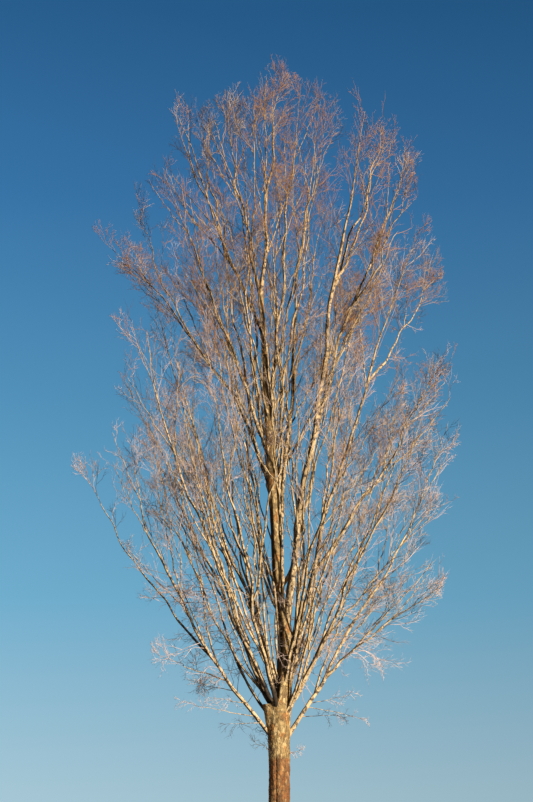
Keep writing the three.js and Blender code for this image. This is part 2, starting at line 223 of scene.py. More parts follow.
def closed_tube(rings):
    """Vertices and triangles of a closed tube: rings of places, with a vertex in the middle at each end."""
    count, sides = rings.shape[:2]
    walls, here, after = tube_walls(count, sides)
    foot, tip, last = count * sides, count * sides + 1, (count - 1) * sides
    foot_cap = np.stack([np.full(sides, foot), after, here], -1)
    tip_cap = np.stack([np.full(sides, tip), last + here, last + after], -1)
    places = np.concatenate([rings.reshape(-1, 3), rings[0].mean(0)[None], rings[-1].mean(0)[None]])
    return places, np.concatenate([walls, foot_cap, tip_cap])


def new_piece(name, places, triangles, materials, dealt=None, grain=None, painted_shade=None):
    """A smooth mesh object from arrays: places, triangles of vertex numbers, and a material for each.

    Grain is each vertex's place in the straightened stem, which the bark's pattern follows. Painted shade
    is how far the bark is darkened there to stand in for shade.
    """
    mesh = bpy.data.meshes.new(name)
    mesh.vertices.add(len(places))
    mesh.vertices.foreach_set("co", np.ascontiguousarray(places, np.float32).ravel())
    mesh.loops.add(triangles.size)
    mesh.loops.foreach_set("vertex_index", np.ascontiguousarray(triangles, np.int32).ravel())
    mesh.polygons.add(len(triangles))
    mesh.polygons.foreach_set("loop_start", np.arange(0, triangles.size, 3, dtype=np.int32))
    for material in materials:
        mesh.materials.append(material)
    if dealt is not None:
        mesh.polygons.foreach_set("material_index", np.ascontiguousarray(dealt, np.int32))
    attributes = [("grain", "FLOAT_VECTOR", "vector", grain), ("painted_shade", "FLOAT", "value", painted_shade)]
    for label, kind, key, values in attributes:
        if values is not None:
            stored = mesh.attributes.new(label, kind, "POINT")
            stored.data.foreach_set(key, np.ascontiguousarray(values, np.float32).ravel())
    mesh.update(calc_edges=True)
    mesh.shade_smooth()
    piece = bpy.data.objects.new(name, mesh)
    bpy.context.scene.collection.objects.link(piece)
    return piece


def node(tree, kind, inputs=None, **settings):
    """A shader node of a kind, with its settings, and its inputs set to values or joined to other sockets."""
    made = tree.nodes.new(kind)
    for key, value in settings.items():
        setattr(made, key, value)
    for key, value in (inputs or {}).items():
        if isinstance(value, bpy.types.NodeSocket):
            tree.links.new(value, made.inputs[key])
        else:
            made.inputs[key].default_value = value
    return made


def ramp(tree, value, stops):
    """A colour ramp on a value: each stop is a share, then the red, green and blue there in linear light."""
    made = node(tree, "ShaderNodeValToRGB", {"Fac": value})
    bands = made.color_ramp.elements
    while len(bands) < len(stops):
        bands.new(0.5)
    for band, (at, *colour) in zip(bands, stops):
        band.position = at
        band.color = (*colour, 1)
    return made.outputs["Color"]


def mapped(tree, value, low, high, first=0.0, last=1.0, **settings):
    """A value carried from one range to another, and held at its ends."""
    inputs = {0: value, 1: low, 2: high, 3: first, 4: last}
    return node(tree, "ShaderNodeMapRange", inputs, **settings).outputs[0]


def scaled(tree, value, factor, more=0.0):
    """A value times a factor, and something more."""
    return node(tree, "ShaderNodeMath", {0: value, 1: factor, 2: more}, operation="MULTIPLY_ADD").outputs[0]


def stretched(tree, place, steps):
    """A place whose measures along X, Y and Z are each multiplied by a step."""
    return node(tree, "ShaderNodeVectorMath", {0: place, 1: steps}, operation="MULTIPLY").outputs[0]


def noise(tree, place, scale, detail, roughness=0.5):
    """Soft noise at a place, as a value and as a colour."""
    inputs = {"Vector": place, "Scale": scale, "Detail": detail, "Roughness": roughness}
    return node(tree, "ShaderNodeTexNoise", inputs).outputs


def coated(tree, colour, coats):
    """A colour under coats of others: each has a share and a colour, given as values or as sockets."""
    for share, coat in coats:
        coat = coat if isinstance(coat, bpy.types.NodeSocket) else (*coat, 1)
        colour = node(tree, "ShaderNodeMix", {0: share, 6: colour, 7: coat}, data_type="RGBA").outputs[2]
    return colour


def new_group(name, inputs, outputs):
    """A shader group with named inputs of a kind each and named values put out, with both ends' sockets."""
    group = bpy.data.node_groups.new(name, "ShaderNodeTree")
    for label, kind in inputs:
        group.interface.new_socket(label, in_out="INPUT", socket_type=f"NodeSocket{kind}")
    for label in outputs:
        group.interface.new_socket(label, in_out="OUTPUT", socket_type="NodeSocketFloat")
    return group, group.nodes.new("NodeGroupInput").outputs, group.nodes.new("NodeGroupOutput").inputs


def flaking_group():
    """Bark plates: cells stretched along the stem with wavering seams, a tint for each, and fine grain."""
    inputs = [("Place", "Vector"), ("Scale", "Float"), ("Stretch", "Float")]
    group, given, out = new_group("flaking", inputs, ["Tint", "Seam", "Height"])
    stretch = node(group, "ShaderNodeCombineXYZ", {"X": 1.0, "Y": 1.0, "Z": given["Stretch"]}).outputs[0]
    place = stretched(group, given["Place"], stretch)
    waver = noise(group, place, 34.0, 3.0)["Color"]
    centred = {0: waver, 1: (0.5, 0.5, 0.5)}
    shift = node(group, "ShaderNodeVectorMath", centred, operation="SUBTRACT").outputs[0]
    sway = {0: shift, 1: (0.045, 0.045, 0.045), 2: place}
    cells = {
        "Vector": node(group, "ShaderNodeVectorMath", sway, operation="MULTIPLY_ADD").outputs[0],
        "Scale": given["Scale"],
    }
    edge = node(group, "ShaderNodeTexVoronoi", cells, feature="DISTANCE_TO_EDGE").outputs["Distance"]
    cell = node(group, "ShaderNodeTexVoronoi", cells).outputs["Color"]
    tint = node(group, "ShaderNodeSeparateColor", {0: cell}).outputs[0]
    plate = mapped(group, edge, 0.0, 0.16, interpolation_type="SMOOTHSTEP")
    grain = noise(group, place, 190.0, 4.0, 0.65)["Fac"]
    group.links.new(tint, out["Tint"])
    group.links.new(mapped(group, edge, 0.0, 0.055, 1.0, 0.0), out["Seam"])
    group.links.new(scaled(group, grain, 0.35, scaled(group, tint, 0.5, plate)), out["Height"])
    return group


def weather_group():
    """Weather on bark: soft patches, long rain streaks, pale lichen specks, corky pores and dark flecks."""
    labels = ["Patch", "Streak", "Lichen", "Pores", "Fleck"]
    group, given, out = new_group("weather", [("Place", "Vector")], labels)
    place = given["Place"]
    spots = noise(group, place, 60.0, 6.0, 0.7)["Fac"]
    bits = noise(group, place, 15.0, 4.0, 0.66)["Fac"]
    wide = {"Vector": stretched(group, place, (1.0, 1.0, 2.6)), "Scale": 95.0}
    dots = node(group, "ShaderNodeTexVoronoi", wide).outputs["Distance"]
    values = [
        noise(group, place, 5.5, 5.0, 0.62)["Fac"],
        noise(group, stretched(group, place, (1.0, 1.0, 0.07)), 42.0, 3.0)["Fac"],
        mapped(group, spots, 0.6, 0.7),
        mapped(group, dots, 0.2, 0.32, 1.0, 0.0),
        mapped(group, bits, 0.52, 0.56),
    ]
    for label, value in zip(labels, values):
        group.links.new(value, out[label])
    return group


FLAKING = flaking_group()
WEATHER = weather_group()


def new_material(name):
    """An empty node material, with its tree and its main shader."""
    material = bpy.data.materials.new(name)
    material.use_nodes = True
    return material, material.node_tree, material.node_tree.nodes["Principled BSDF"]


def bark_material(name, scale, stretch):
    """A new material with both bark groups, whose patterns follow the grain: its tree, shader and values."""
    material, tree, shader = new_material(name)
    grain = node(tree, "ShaderNodeAttribute", attribute_name="grain").outputs["Vector"]
    flaking = {"Place": grain, "Scale": scale, "Stretch": stretch}
    flaking = node(tree, "ShaderNodeGroup", flaking, node_tree=FLAKING).outputs
    weather = node(tree, "ShaderNodeGroup", {"Place": grain}, node_tree=WEATHER).outputs
    # Painted shade: a vertex attribute that marks where the bark is darkened to stand in for shade.
    painted_shade = node(tree, "ShaderNodeAttribute", attribute_name="painted_shade").outputs["Fac"]
    return material, tree, shader, grain, flaking, weather, painted_shade


def bark_finish(tree, shader, colour, flaking, roughness, gloss, bump):
    """Joins a bark's colour to its shader, with roughness by a plate's tint, gloss, and the plates' bump."""
    tree.links.new(colour, shader.inputs["Base Color"])
    tree.links.new(mapped(tree, flaking["Tint"], 0.0, 1.0, *roughness), shader.inputs["Roughness"])
    shader.inputs["Specular IOR Level"].default_value = gloss
    raised = {"Height": flaking["Height"], "Strength": bump[0], "Distance": bump[1]}
    tree.links.new(node(tree, "ShaderNodeBump", raised).outputs[0], shader.inputs["Normal"])


def trunk_bark():
    """Golden-tan plates over orange-brown under-bark, mostly red-brown below 2.4 m, dark in the seams, and
    painted shade on the leader's left side behind its fold.
    """
    material, tree, shader, grain, flaking, weather, painted_shade = bark_material("trunk_bark", 26.0, 0.45)
    tint, patch = flaking["Tint"], weather["Patch"]
    plate = ramp(tree, tint, [
        (0.0, 0.145, 0.09, 0.037), (0.3, 0.24, 0.162, 0.067),
        (0.65, 0.345, 0.243, 0.104), (1.0, 0.56, 0.43, 0.225),
    ])
    fresh = ramp(tree, tint, [(0.0, 0.27, 0.11, 0.03), (1.0, 0.46, 0.225, 0.062)])
    red = ramp(tree, weather["Streak"], [
        (0.34, 0.05, 0.023, 0.01), (0.47, 0.15, 0.066, 0.022),
        (0.58, 0.32, 0.115, 0.03), (0.7, 0.5, 0.32, 0.14),
    ])
    red_plate = ramp(tree, tint, [
        (0.0, 0.07, 0.031, 0.013), (0.4, 0.24, 0.088, 0.024),
        (0.75, 0.44, 0.15, 0.038), (1.0, 0.62, 0.42, 0.2),
    ])
    red = coated(tree, red, [(0.42, red_plate), (0.26, (0.03, 0.01, 0.003))])
    height = node(tree, "ShaderNodeSeparateXYZ", {0: grain}).outputs["Z"]
    lower = mapped(tree, scaled(tree, patch, 0.3, height), 2.5, 2.58, 1.0, 0.0)
    bark = coated(tree, plate, [
        (mapped(tree, patch, 0.55, 0.62, 0.0, 0.8), fresh),
        (scaled(tree, lower, mapped(tree, patch, 0.42, 0.56, 0.97, 0.72)), red),
        (scaled(tree, weather["Lichen"], 0.35), (0.5, 0.46, 0.34)),
        (scaled(tree, weather["Fleck"], 0.42), (0.055, 0.035, 0.018)),
        (scaled(tree, flaking["Seam"], 0.7), (0.06, 0.035, 0.02)),
        # Painted shade: nearly black on the leader's left side behind its fold.
        (scaled(tree, painted_shade, 0.94), (0.035, 0.026, 0.016)),
    ])
    bark_finish(tree, shader, bark, flaking, (0.72, 0.95), 0.3, (0.7, 0.006))
    return material


def sawn_wood():
    """Weathered end grain: grey wood with faint rings about the stub's middle and short dark cracks."""
    material, tree, shader = new_material("sawn_wood")
    place = node(tree, "ShaderNodeTexCoord").outputs["Object"]
    moved = {"Vector": place, "Location": (-STUB["x"], -STUB["y"], 0)}
    middle = node(tree, "ShaderNodeMapping", moved).outputs[0]
    ringed = {"Vector": middle, "Scale": 22.0, "Distortion": 1.6}
    rings = node(tree, "ShaderNodeTexWave", ringed, wave_type="RINGS", rings_direction="Z").outputs["Fac"]
    wood = ramp(tree, rings, [(0.0, 0.17, 0.13, 0.1), (0.6, 0.3, 0.24, 0.18), (1.0, 0.36, 0.3, 0.23)])
    cracks = mapped(tree, noise(tree, middle, 30.0, 5.0)["Fac"], 0.58, 0.66)
    tree.links.new(coated(tree, wood, [(cracks, (0.07, 0.055, 0.045))]), shader.inputs["Base Color"])
    shader.inputs["Roughness"].default_value = 0.9
    bump = node(tree, "ShaderNodeBump", {"Height": rings, "Strength": 0.4, "Distance": 0.003})
    tree.links.new(bump.outputs[0], shader.inputs["Normal"])
    return material


below_ledge, above_ledge, free_leader = (np.linspace(*stretch) for stretch in RING_STRETCHES)
heights = np.concatenate([below_ledge, STUB["top"] + LEDGE["rings"], above_ledge, free_leader])
azimuths = np.linspace(0, 2 * np.pi, TRUNK_SIDES, endpoint=False)
height_grid, azimuth_grid = np.meshgrid(heights, azimuths, indexing="ij")
radii = trunk_radius(height_grid, azimuth_grid)
girth_at_ledge = np.interp(STUB["top"], GIRTH_HEIGHTS, GIRTH_RADII)
on_ledge = (height_grid == STUB["top"]) & (radii > girth_at_ledge + LEDGE["wider_by"])
radii = np.where(on_ledge, radii - LEDGE["drawn_in"], radii)
out_x, out_y = np.cos(azimuth_grid), np.sin(azimuth_grid)
grain = np.stack([radii * out_x, radii * out_y, height_grid], -1)
full = radii + bark_relief(grain, azimuth_grid, height_grid)
middle = trunk_line(height_grid)
rings = np.stack([middle[..., 0] + full * out_x, middle[..., 1] + full * out_y, height_grid], -1)
places, triangles = closed_tube(rings)
ring_of = triangles // TRUNK_SIDES
ledge_ring = int(np.argmin(np.abs(heights - STUB["top"])))
across_ledge = (ring_of.min(1) == ledge_ring) & (ring_of.max(1) == ledge_ring + 1)
trunk = new_piece(
    "trunk_bark", places, triangles, [trunk_bark(), sawn_wood()], across_ledge.astype(int),
    np.concatenate([grain.reshape(-1, 3), [[0, 0, 0], [0, 0, TRUNK_TOP]]]),
    # Painted shade on the trunk: how far each vertex lies behind the leader's fold.
    np.append(in_fold(height_grid, azimuth_grid).ravel(), [0, 0]),
)
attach(trunk, "root")
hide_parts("trunk")


# Limbs
# Each limb is one tapering stem of living wood that leaves the trunk or an older limb at a narrow angle and
# wanders upwards to the edge of the crown. Its smoother tan bark is flecked with dark pores and thin flakes.
# A row is its name; its foot, as a height on the trunk or a limb and a share of it; its azimuth in degrees;
# how far out and how high its tip is; how far its plan is bowed; its radius at the foot; the share of it
# that is a bare bough; and its spread, the measure of its longest branches.
LIMBS = [
    ("left_low", 2.62, 188, 2.66, 7.9, 0.78, 0.034, 0.5, 0.9),
    ("low_left", ("left_low", 0.2), 184, 2.15, 4.15, 0.2, 0.011, 0, 0.42),
    ("left_far", ("left_low", 0.27), 176, 3.64, 7.72, 0.35, 0.02, 0.5, 0.7),
    ("left_rear", 3.02, 150, 3.21, 9.42, 0.08, 0.036, 0.52, 1.15),
    ("left_shoulder", 3.0, 201, 2.78, 9.81, 0.14, 0.038, 0.5, 1.15),
    ("left_inner", 3.56, 143, 2.91, 10.96, 0.2, 0.036, 0.52, 1.1),
    ("left_slim", 3.5, 233, 2.45, 9.94, -0.85, 0.026, 0, 0.9),
    ("long_left", 6.9, 173, 3.45, 12.05, -0.6, 0.034, 0.58, 0.8),
    ("long_left_upper", ("long_left", 0.55), 155, 3.03, 13.14, 0.5, 0.02, 0, 0.75),
    ("upper_left", 7.5, 209, 2.38, 12.63, -0.1, 0.036, 0.52, 1.0),
    ("crest_left", 9.9, 176, 2.07, 14.55, 0.1, 0.03, 0.45, 0.8),
    ("crest_left_rear", ("crest_left", 0.41), 135, 2.2, 14.98, 0.25, 0.02, 0, 0.75),
    ("slim_front_left", 8.3, 244, 2.16, 11.76, 0.2, 0.022, 0, 0.85),
    ("crown_left", 10.66, 230, 1.57, 13.94, 0.1, 0.028, 0.4, 0.85),
    ("crown_top", 10.69, 100, 0.18, 15.56, 0.4, 0.036, 0.4, 0.85),
    ("crown_front", 8.0, -72, 1.31, 14.35, -0.2, 0.038, 0.55, 0.9),
    ("crown_rear", 5.05, 55, 1.53, 15.37, -0.6, 0.044, 0.62, 0.9),
    ("right_leader", 4.45, -20, 1.73, 14.15, -0.14, 0.07, 0.645, 0.95),
    ("right_crest", ("right_leader", 0.623), 26, 2.51, 14.57, -0.1, 0.026, 0, 0.8),
    ("right_upper", ("right_leader", 0.288), 16, 2.84, 13.96, -0.35, 0.04, 0.52, 0.95),
    ("right_main", 3.0, -25, 2.76, 11.53, -0.28, 0.046, 0.695, 1.0),
    ("right_main_rear", ("right_main", 0.677), 23, 3.29, 11.8, 0.3, 0.019, 0, 0.8),
    ("right_outer", ("right_main", 0.29), -4, 2.9, 9.35, 0.22, 0.032, 0.5, 0.85),
    ("right_mid", 2.84, -32, 2.88, 7.83, 0, 0.038, 0.5, 1.05),
    ("right_rear", 2.55, 20, 3.44, 8.1, 0.1, 0.037, 0.54, 1.05),
    ("right_low", ("right_rear", 0.22), -2, 2.77, 5.25, -0.3, 0.022, 0.45, 0.85),
    ("rear_right_upper", 6.2, 66, 2.51, 13.71, -0.2, 0.036, 0.5, 1.0),
    ("front_left", 3.02, 248, 3.01, 8.41, 0.2, 0.036, 0.5, 1.05),
    ("front_right", 3.62, -66, 3.02, 8.78, 0.1, 0.035, 0.5, 1.05),
    ("front_upper", 4.6, 268, 2.6, 12.32, -0.2, 0.037, 0.55, 1.05),
    ("rear_left", 3.42, 115, 3.15, 8.9, 0.15, 0.037, 0.5, 1.05),
    ("rear_right", 3.0, 65, 3.14, 8.41, 0.2, 0.038, 0.5, 1.05),
    ("rear_upper", 5.4, 99, 2.68, 12.46, -0.1, 0.036, 0.52, 1.05),
]
SOLID_LIMBS = len(LIMBS)
# Slimmer limbs between them, too slight for a solid: foot, azimuth, reach, top, bow, radius and spread.
SLIM_LIMBS = [
    (2.95, 168, 2.15, 9.0, 0.5, 0.024, 0.85), (3.5, 222, 1.5, 9.6, -0.4, 0.022, 0.85),
    (3.7, 12, 2.3, 8.6, 0.1, 0.018, 0.85), (3.3, 0, 1.2, 10.8, -0.5, 0.022, 0.85),
    (3.0, -48, 2.3, 8.8, 0.1, 0.024, 0.85), (3.25, 182, 2.35, 8.2, 0.5, 0.02, 0.85),
    (3.1, 92, 2.2, 9.4, 0, 0.026, 0.85), (3.4, 40, 2.2, 10.2, -0.1, 0.026, 0.85),
    (3.3, 128, 2.3, 10.0, 0, 0.026, 0.85), (4.8, 198, 1.9, 11.6, -0.3, 0.024, 0.85),
    (5.2, 20, 2.1, 12.0, -0.2, 0.026, 0.85), (5.0, 150, 1.8, 12.6, -0.3, 0.024, 0.85),
    (2.96, 172, 2.4, 8.3, 0.3, 0.021, 0.7), (3.6, 196, 2.1, 10.4, 0.35, 0.024, 0.7),
    (3.6, 218, 0.95, 9.8, -0.2, 0.014, 0.6), (("left_low", 0.19), 170, 2.2, 8.6, -0.2, 0.016, 0.6),
    (("left_low", 0.26), 192, 2.35, 7.5, -0.1, 0.013, 0.6), (3.15, -8, 2.75, 9.0, 0, 0.026, 0.7),
    (3.42, -58, 2.1, 10.2, -0.2, 0.026, 0.7), (3.3, 8, 0.65, 9.6, -0.2, 0.016, 0.6),
    (3.05, 14, 2.6, 8.2, 0, 0.02, 0.7), (3.1, 205, 1.7, 7.4, 0.4, 0.015, 0.6),
    (3.3, 243, 1.5, 8.0, 0.3, 0.014, 0.6), (3.0, -40, 1.7, 7.6, 0.4, 0.015, 0.6),
    (("right_leader", 0.66), 6, 2.05, 14.5, 0.2, 0.022, 0.8),
    (("right_upper", 0.5), -12, 2.55, 13.0, 0.1, 0.02, 0.8),
    (7.2, 186, 1.35, 14.1, 0.1, 0.027, 0.7), (7.9, 160, 0.8, 14.8, -0.1, 0.026, 0.7),
    (8.4, 8, 0.95, 14.5, 0, 0.026, 0.7), (7.6, 214, 1.0, 14.4, 0.2, 0.025, 0.7),
]
# Young shoots on the trunk below the fork and drooping ones on the lowest limbs beside it, in the same order.
SHOOTS = [
    (2.46, 178, 0.55, 3.15, -0.5, 0.005, 0.2), (2.5, 196, 0.5, 2.72, 0.3, 0.005, 0.2),
    (2.42, -10, 0.42, 2.6, 0.2, 0.004, 0.15), (("left_low", 0.13), 190, 1.35, 3.42, -0.3, 0.006, 0.32),
    (("left_low", 0.07), 200, 1.05, 2.95, 0.2, 0.005, 0.3),
    (("left_low", 0.17), 174, 1.5, 3.7, 0.3, 0.006, 0.32),
    (("right_rear", 0.1), -12, 1.2, 3.12, 0.3, 0.005, 0.3),
    (("right_rear", 0.14), 6, 1.35, 3.5, 0.2, 0.005, 0.3),
    (("left_low", 0.09), 189, 1.75, 3.38, 0.5, 0.006, 0.34),
    (("right_rear", 0.13), 2, 1.5, 3.0, 0.6, 0.005, 0.3),
]
FIRST_SHOOT = SOLID_LIMBS + len(SLIM_LIMBS)
for kind, rows in (("slim", SLIM_LIMBS), ("shoot", SHOOTS)):
    LIMBS += [(f"{kind}_{i + 1}", *row[:6], 0, row[6]) for i, row in enumerate(rows)]
LIMB_RINGS = 151
LIMB_TAPER = 0.86
# A thick limb has more sides than a thin one.
LIMB_SIDES = {"thick": 14, "thin": 10, "from": 0.03}
# A limb's last stretch thins out to a twig's thickness: from this share of its length, by this share.
TIP_STRETCH, TIP_THINNING = 0.72, 0.68
# Where it leaves its bearer it swells by a share that dies away over a length.
COLLAR = {"swell": 0.5, "length": 0.25}
# Knobs in its outline: size, share of the radius, and seed.
KNOBS = [(0.11, 0.12, 21.0), (0.03, 0.07, 33.0)]
# Each limb stands this step further on in the bark's pattern and in the knobs, so that no two are alike.
BARK_STEP, KNOB_STEP = np.array([3.1, 0, 0]), np.array([3.1, 0, 1.7])
# A slim limb leaves the trunk more sideways, by a heel, before it turns up.
HEEL = {"aside": 0.2, "length": 0.35}
# A limb wanders in waves along X and Y: axis, turns over its length, how far aside, and seed.
WAVES = [(0, 2.3, 0.042, 0), (0, 5.7, 0.0168, 40), (1, 1.9, 0.042, 80), (1, 6.1, 0.0168, 120)]
# Between the waves it is crooked: it turns a little at each old bud, a step along, by up to an amount aside.
CROOKS = [(0.62, 0.022), (0.27, 0.012), (0.11, 0.004)]
# Painted shade: the bark is darkened on the limbs' left and lower side, which faces away from the low light,
# and in the crotch above the stub, where shade falls.
SHADED_SIDE = np.array([-0.93, -0.28, -0.24])
SIDE_SHADE = {"from": 0.37, "over": 0.33}
SHADED_CROTCH = {"place": np.array([-0.15, -0.14, 3.45]), "reach": 0.17}


def limb_line(index, share):
    """A limb's middle at each share of its length: it rises evenly, and its plan follows a bowed line.

    Waves and crooks move it aside, and a slim limb has a heel that dies away towards its tip.
    """
    _, foot, azimuth, reach, top, bow, *_ = LIMBS[index]
    share = np.asarray(share, float)
    if isinstance(foot, tuple):
        start = limb_line([limb[0] for limb in LIMBS].index(foot[0]), foot[1])
    else:
        start = trunk_line(foot)
    turned = math.radians(azimuth)
    span = np.array([reach * math.cos(turned), reach * math.sin(turned), top]) - start
    out = share * (1 + bow * (1 - share))
    line = start + span * np.stack([out, out, share], -1)
    for axis, turns, aside, seed in WAVES:
        wave = np.sin(2 * np.pi * (turns * share + chance(index + seed)))
        line[..., axis] += aside * np.sin(np.pi * share) * wave
    length = np.linalg.norm(span)
    if SOLID_LIMBS <= index < FIRST_SHOOT:
        heel = HEEL["aside"] * (1 - np.exp(-share * length / HEEL["length"])) * (1 - share)
        line += heel[..., None] * np.array([math.cos(turned), math.sin(turned), 0])
    for step, aside in CROOKS:
        buds = np.arange(int(length / step) + 3)
        for axis in (0, 1):
            kinks = 2 * chance(index * 7.7 + axis * 31 + buds * 1.9) - 1
            bent = np.interp(share * length / step, buds, kinks)
            line[..., axis] += aside * np.minimum(1, 6 * share * (1 - share)) * bent
    return line


def around_line(lines, radii, sides, reference):
    """Rings of places round rows of lines: at each point a circle of its radius, square to the heading."""
    ahead = np.gradient(lines, axis=-2)
    heading = ahead / np.linalg.norm(ahead, axis=-1, keepdims=True)
    across = np.cross(np.broadcast_to(reference, heading.shape), heading)
    across /= np.linalg.norm(across, axis=-1, keepdims=True)
    along = np.cross(heading, across)
    turn = np.arange(sides) * 2 * np.pi / sides
    circle = np.cos(turn)[:, None] * across[..., None, :] + np.sin(turn)[:, None] * along[..., None, :]
    return lines[..., None, :] + radii[..., None] * circle


def straight_rings(thick, run, sides):
    """Rings of places round straight stems that stand along Z: a circle of its radius at each length run."""
    turn = np.arange(sides) * 2 * np.pi / sides
    wide, run = (np.repeat(value[..., None], sides, -1) for value in np.broadcast_arrays(thick, run))
    return np.stack([wide * np.cos(turn), wide * np.sin(turn), run], -1)


def painted_shade_amount(places, middles):
    """How much painted shade the bark gets: the larger of how squarely it faces the shaded side and how near
    the crotch it is.
    """
    out = places - middles
    out /= np.maximum(np.linalg.norm(out, axis=-1, keepdims=True), 0.00001)
    away = np.linalg.norm(places - SHADED_CROTCH["place"], axis=-1) / SHADED_CROTCH["reach"]
    return np.maximum(rising(out @ SHADED_SIDE, SIDE_SHADE["from"], SIDE_SHADE["over"]), np.clip(2 - away, 0, 1))


def bough_bark():
    """Tan bark with grey-brown flakes, dark pores, rain streaks and pale lichen, younger and redder high up.

    It is painted nearly black, as painted shade, on its side away from the low light and near the crotch,
    with an uneven border.
    """
    material, tree, shader, _, flaking, weather, painted_shade = bark_material("bough_bark", 38.0, 0.3)
    skin = ramp(tree, weather["Patch"], [
        (0.34, 0.12, 0.07, 0.03), (0.44, 0.58, 0.43, 0.235),
        (0.6, 0.66, 0.505, 0.29), (0.72, 0.5, 0.26, 0.095),
    ])
    flake = ramp(tree, flaking["Tint"], [
        (0.0, 0.05, 0.03, 0.015), (0.3, 0.33, 0.245, 0.125),
        (0.7, 0.55, 0.425, 0.245), (1.0, 0.66, 0.53, 0.34),
    ])
    place = node(tree, "ShaderNodeTexCoord").outputs["Object"]
    height = node(tree, "ShaderNodeSeparateXYZ", {0: place}).outputs["Z"]
    bark = coated(tree, skin, [
        (0.45, flake),
        (mapped(tree, height, 8.0, 14.0, 0.0, 0.6), (0.38, 0.24, 0.105)),
        (mapped(tree, weather["Streak"], 0.56, 0.72, 0.0, 0.5), (0.13, 0.085, 0.055)),
        (scaled(tree, weather["Fleck"], 0.9), (0.045, 0.026, 0.014)),
        (scaled(tree, weather["Pores"], 0.55), (0.1, 0.06, 0.035)),
        (scaled(tree, weather["Lichen"], 0.3), (0.5, 0.47, 0.36)),
        # Painted shade: nearly black where the bark faces away from the low light or lies near the crotch.
        (
            mapped(tree, scaled(tree, weather["Patch"], 0.8, painted_shade), 0.62, 1.05, 0.0, 0.96),
            (0.018, 0.012, 0.008),
        ),
    ])
    bark_finish(tree, shader, bark, flaking, (0.66, 0.9), 0.35, (0.5, 0.003))
    return material


BOUGH_BARK = bough_bark()
limb_shares = np.linspace(0, 1, LIMB_RINGS)
limb_lines = np.stack([limb_line(index, limb_shares) for index in range(len(LIMBS))])
for index, (name, _, azimuth, _, _, _, radius, bough, _) in enumerate(LIMBS):
    line = limb_lines[index]
    length = float(np.linalg.norm(line[-1] - line[0]))
    collar = 1 + COLLAR["swell"] * np.exp(-limb_shares * length / COLLAR["length"])
    slimmer = 1 - TIP_THINNING * rising(limb_shares, TIP_STRETCH, 1 - TIP_STRETCH)
    thick = radius * (1 - LIMB_TAPER * limb_shares) * collar * slimmer
    sides = LIMB_SIDES["thick" if radius > LIMB_SIDES["from"] else "thin"]
    run = np.concatenate([[0], np.cumsum(np.linalg.norm(np.diff(line, axis=0), axis=1))])
    straight = straight_rings(thick, run, sides)
    knobs = 1 + sum(share * lumps(straight + index * KNOB_STEP, size, seed) for size, share, seed in KNOBS)
    reference = np.array([-math.sin(math.radians(azimuth)), math.cos(math.radians(azimuth)), 0])
    rings = around_line(line, thick[:, None] * knobs, sides, reference)
    places, triangles = closed_tube(rings)
    grain = np.concatenate([straight.reshape(-1, 3), [[0, 0, 0], [0, 0, run[-1]]]]) + index * BARK_STEP
    # Painted shade on each vertex of the limb: its side away from the low light and near the crotch.
    painted_shade = np.append(painted_shade_amount(rings, line[:, None]).ravel(), [0, 0])
    piece = new_piece(f"limb_{name}", places, triangles, [BOUGH_BARK], None, grain, painted_shade)
    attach(piece, "root")
    if index < SOLID_LIMBS:
        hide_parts(f"mass_{name}", *([f"bough_{name}"] if bough else []))


# Forks
# Slimmer stems leave the leader and the limbs all round, rise beside them at a narrow angle and fork again.
# They have the limbs' bark. A stem that would leave the crown's outline is shorter, so that it ends inside.
CROWN = {
    "foot": 2.7, "foot_radius": 0.7, "foot_power": 1.6, "shoulder": 6.6, "radius": 3.3, "top": 15.62,
    "top_power": 4.2,
}
# A stem may reach this many times as far out as its limb, up to the headroom above its limb's top, by chance,
# and no higher than the highest.
BEYOND_REACH = 1.03
HEADROOM = 0.75
HIGHEST = 15.85
# How far the crown reaches to the viewer's left and right at each height. Its depth is the mean of the two.
OUTLINE_HEIGHTS = [
    2.6, 3.2, 4.0, 4.5, 5.1, 5.8, 7.9, 9.4, 10.0, 10.6, 11.2, 11.9, 12.6, 13.3, 14.0, 14.5, 15.0, 15.6,
]
OUTLINE_LEFT = [
    0.5, 1.5, 2.0, 2.15, 2.5, 2.65, 2.75, 2.65, 2.5, 2.2, 2.6, 2.7, 2.4, 2.1, 1.7, 0.9, 0.5, 0.1,
]
OUTLINE_RIGHT = [
    0.4, 1.3, 2.0, 2.45, 2.7, 2.9, 2.98, 2.75, 2.55, 2.75, 2.85, 2.65, 2.45, 2.4, 1.3, 0.85, 0.45, 0.1,
]
BESIDE_LIMB = 0.55
DEEPEST = 3.0
WIDEST_LEFT, WIDEST_RIGHT = -3.8, 3.38
# The crown's edge is ragged: by chance a stem has more or less room beside its limb and within the outline.
RAGGED = {"least_beside": 0.4, "outline": 1.04, "less": 0.14}
# A shoot is likelier to live towards the crown's edge and, over a stretch of its height, towards the top.
LIT = {"at_edge": 1.3, "inside": 0.15, "at_top": 0.6, "from": 5.5, "over": 7, "least": 0.2, "share": 0.85}
CLUMPS = {"size": 0.8, "mean": 0.85, "depth": 0.6, "least": 0.5, "most": 1.3, "seed": 41.0}
# Few shoots live in front of the leader, where older limbs shade them.
OPENING = {"width": 0.7, "top": 9.0, "loss": 0.96}
# The crest's flanks are young and thin.
CREST = {"foot": 10.2, "depth": 2.4, "from": 0.6, "loss": 0.75}
# Shoots near a stem's tip get light from all round: the stretch over which they do, as shares of the stem.
TIP = {"from": 0.72, "over": 0.2}
# Of shoots thinned aside, only those at a stem's tip live up to this far to the trunk's left or right, and
# over a stretch beyond it more and more of the others do.
CLEAR_TRUNK = {"from": 0.25, "over": 0.7}
GOLDEN_SHARE = 0.618034
GOLDEN_TURN = math.radians(137.508)
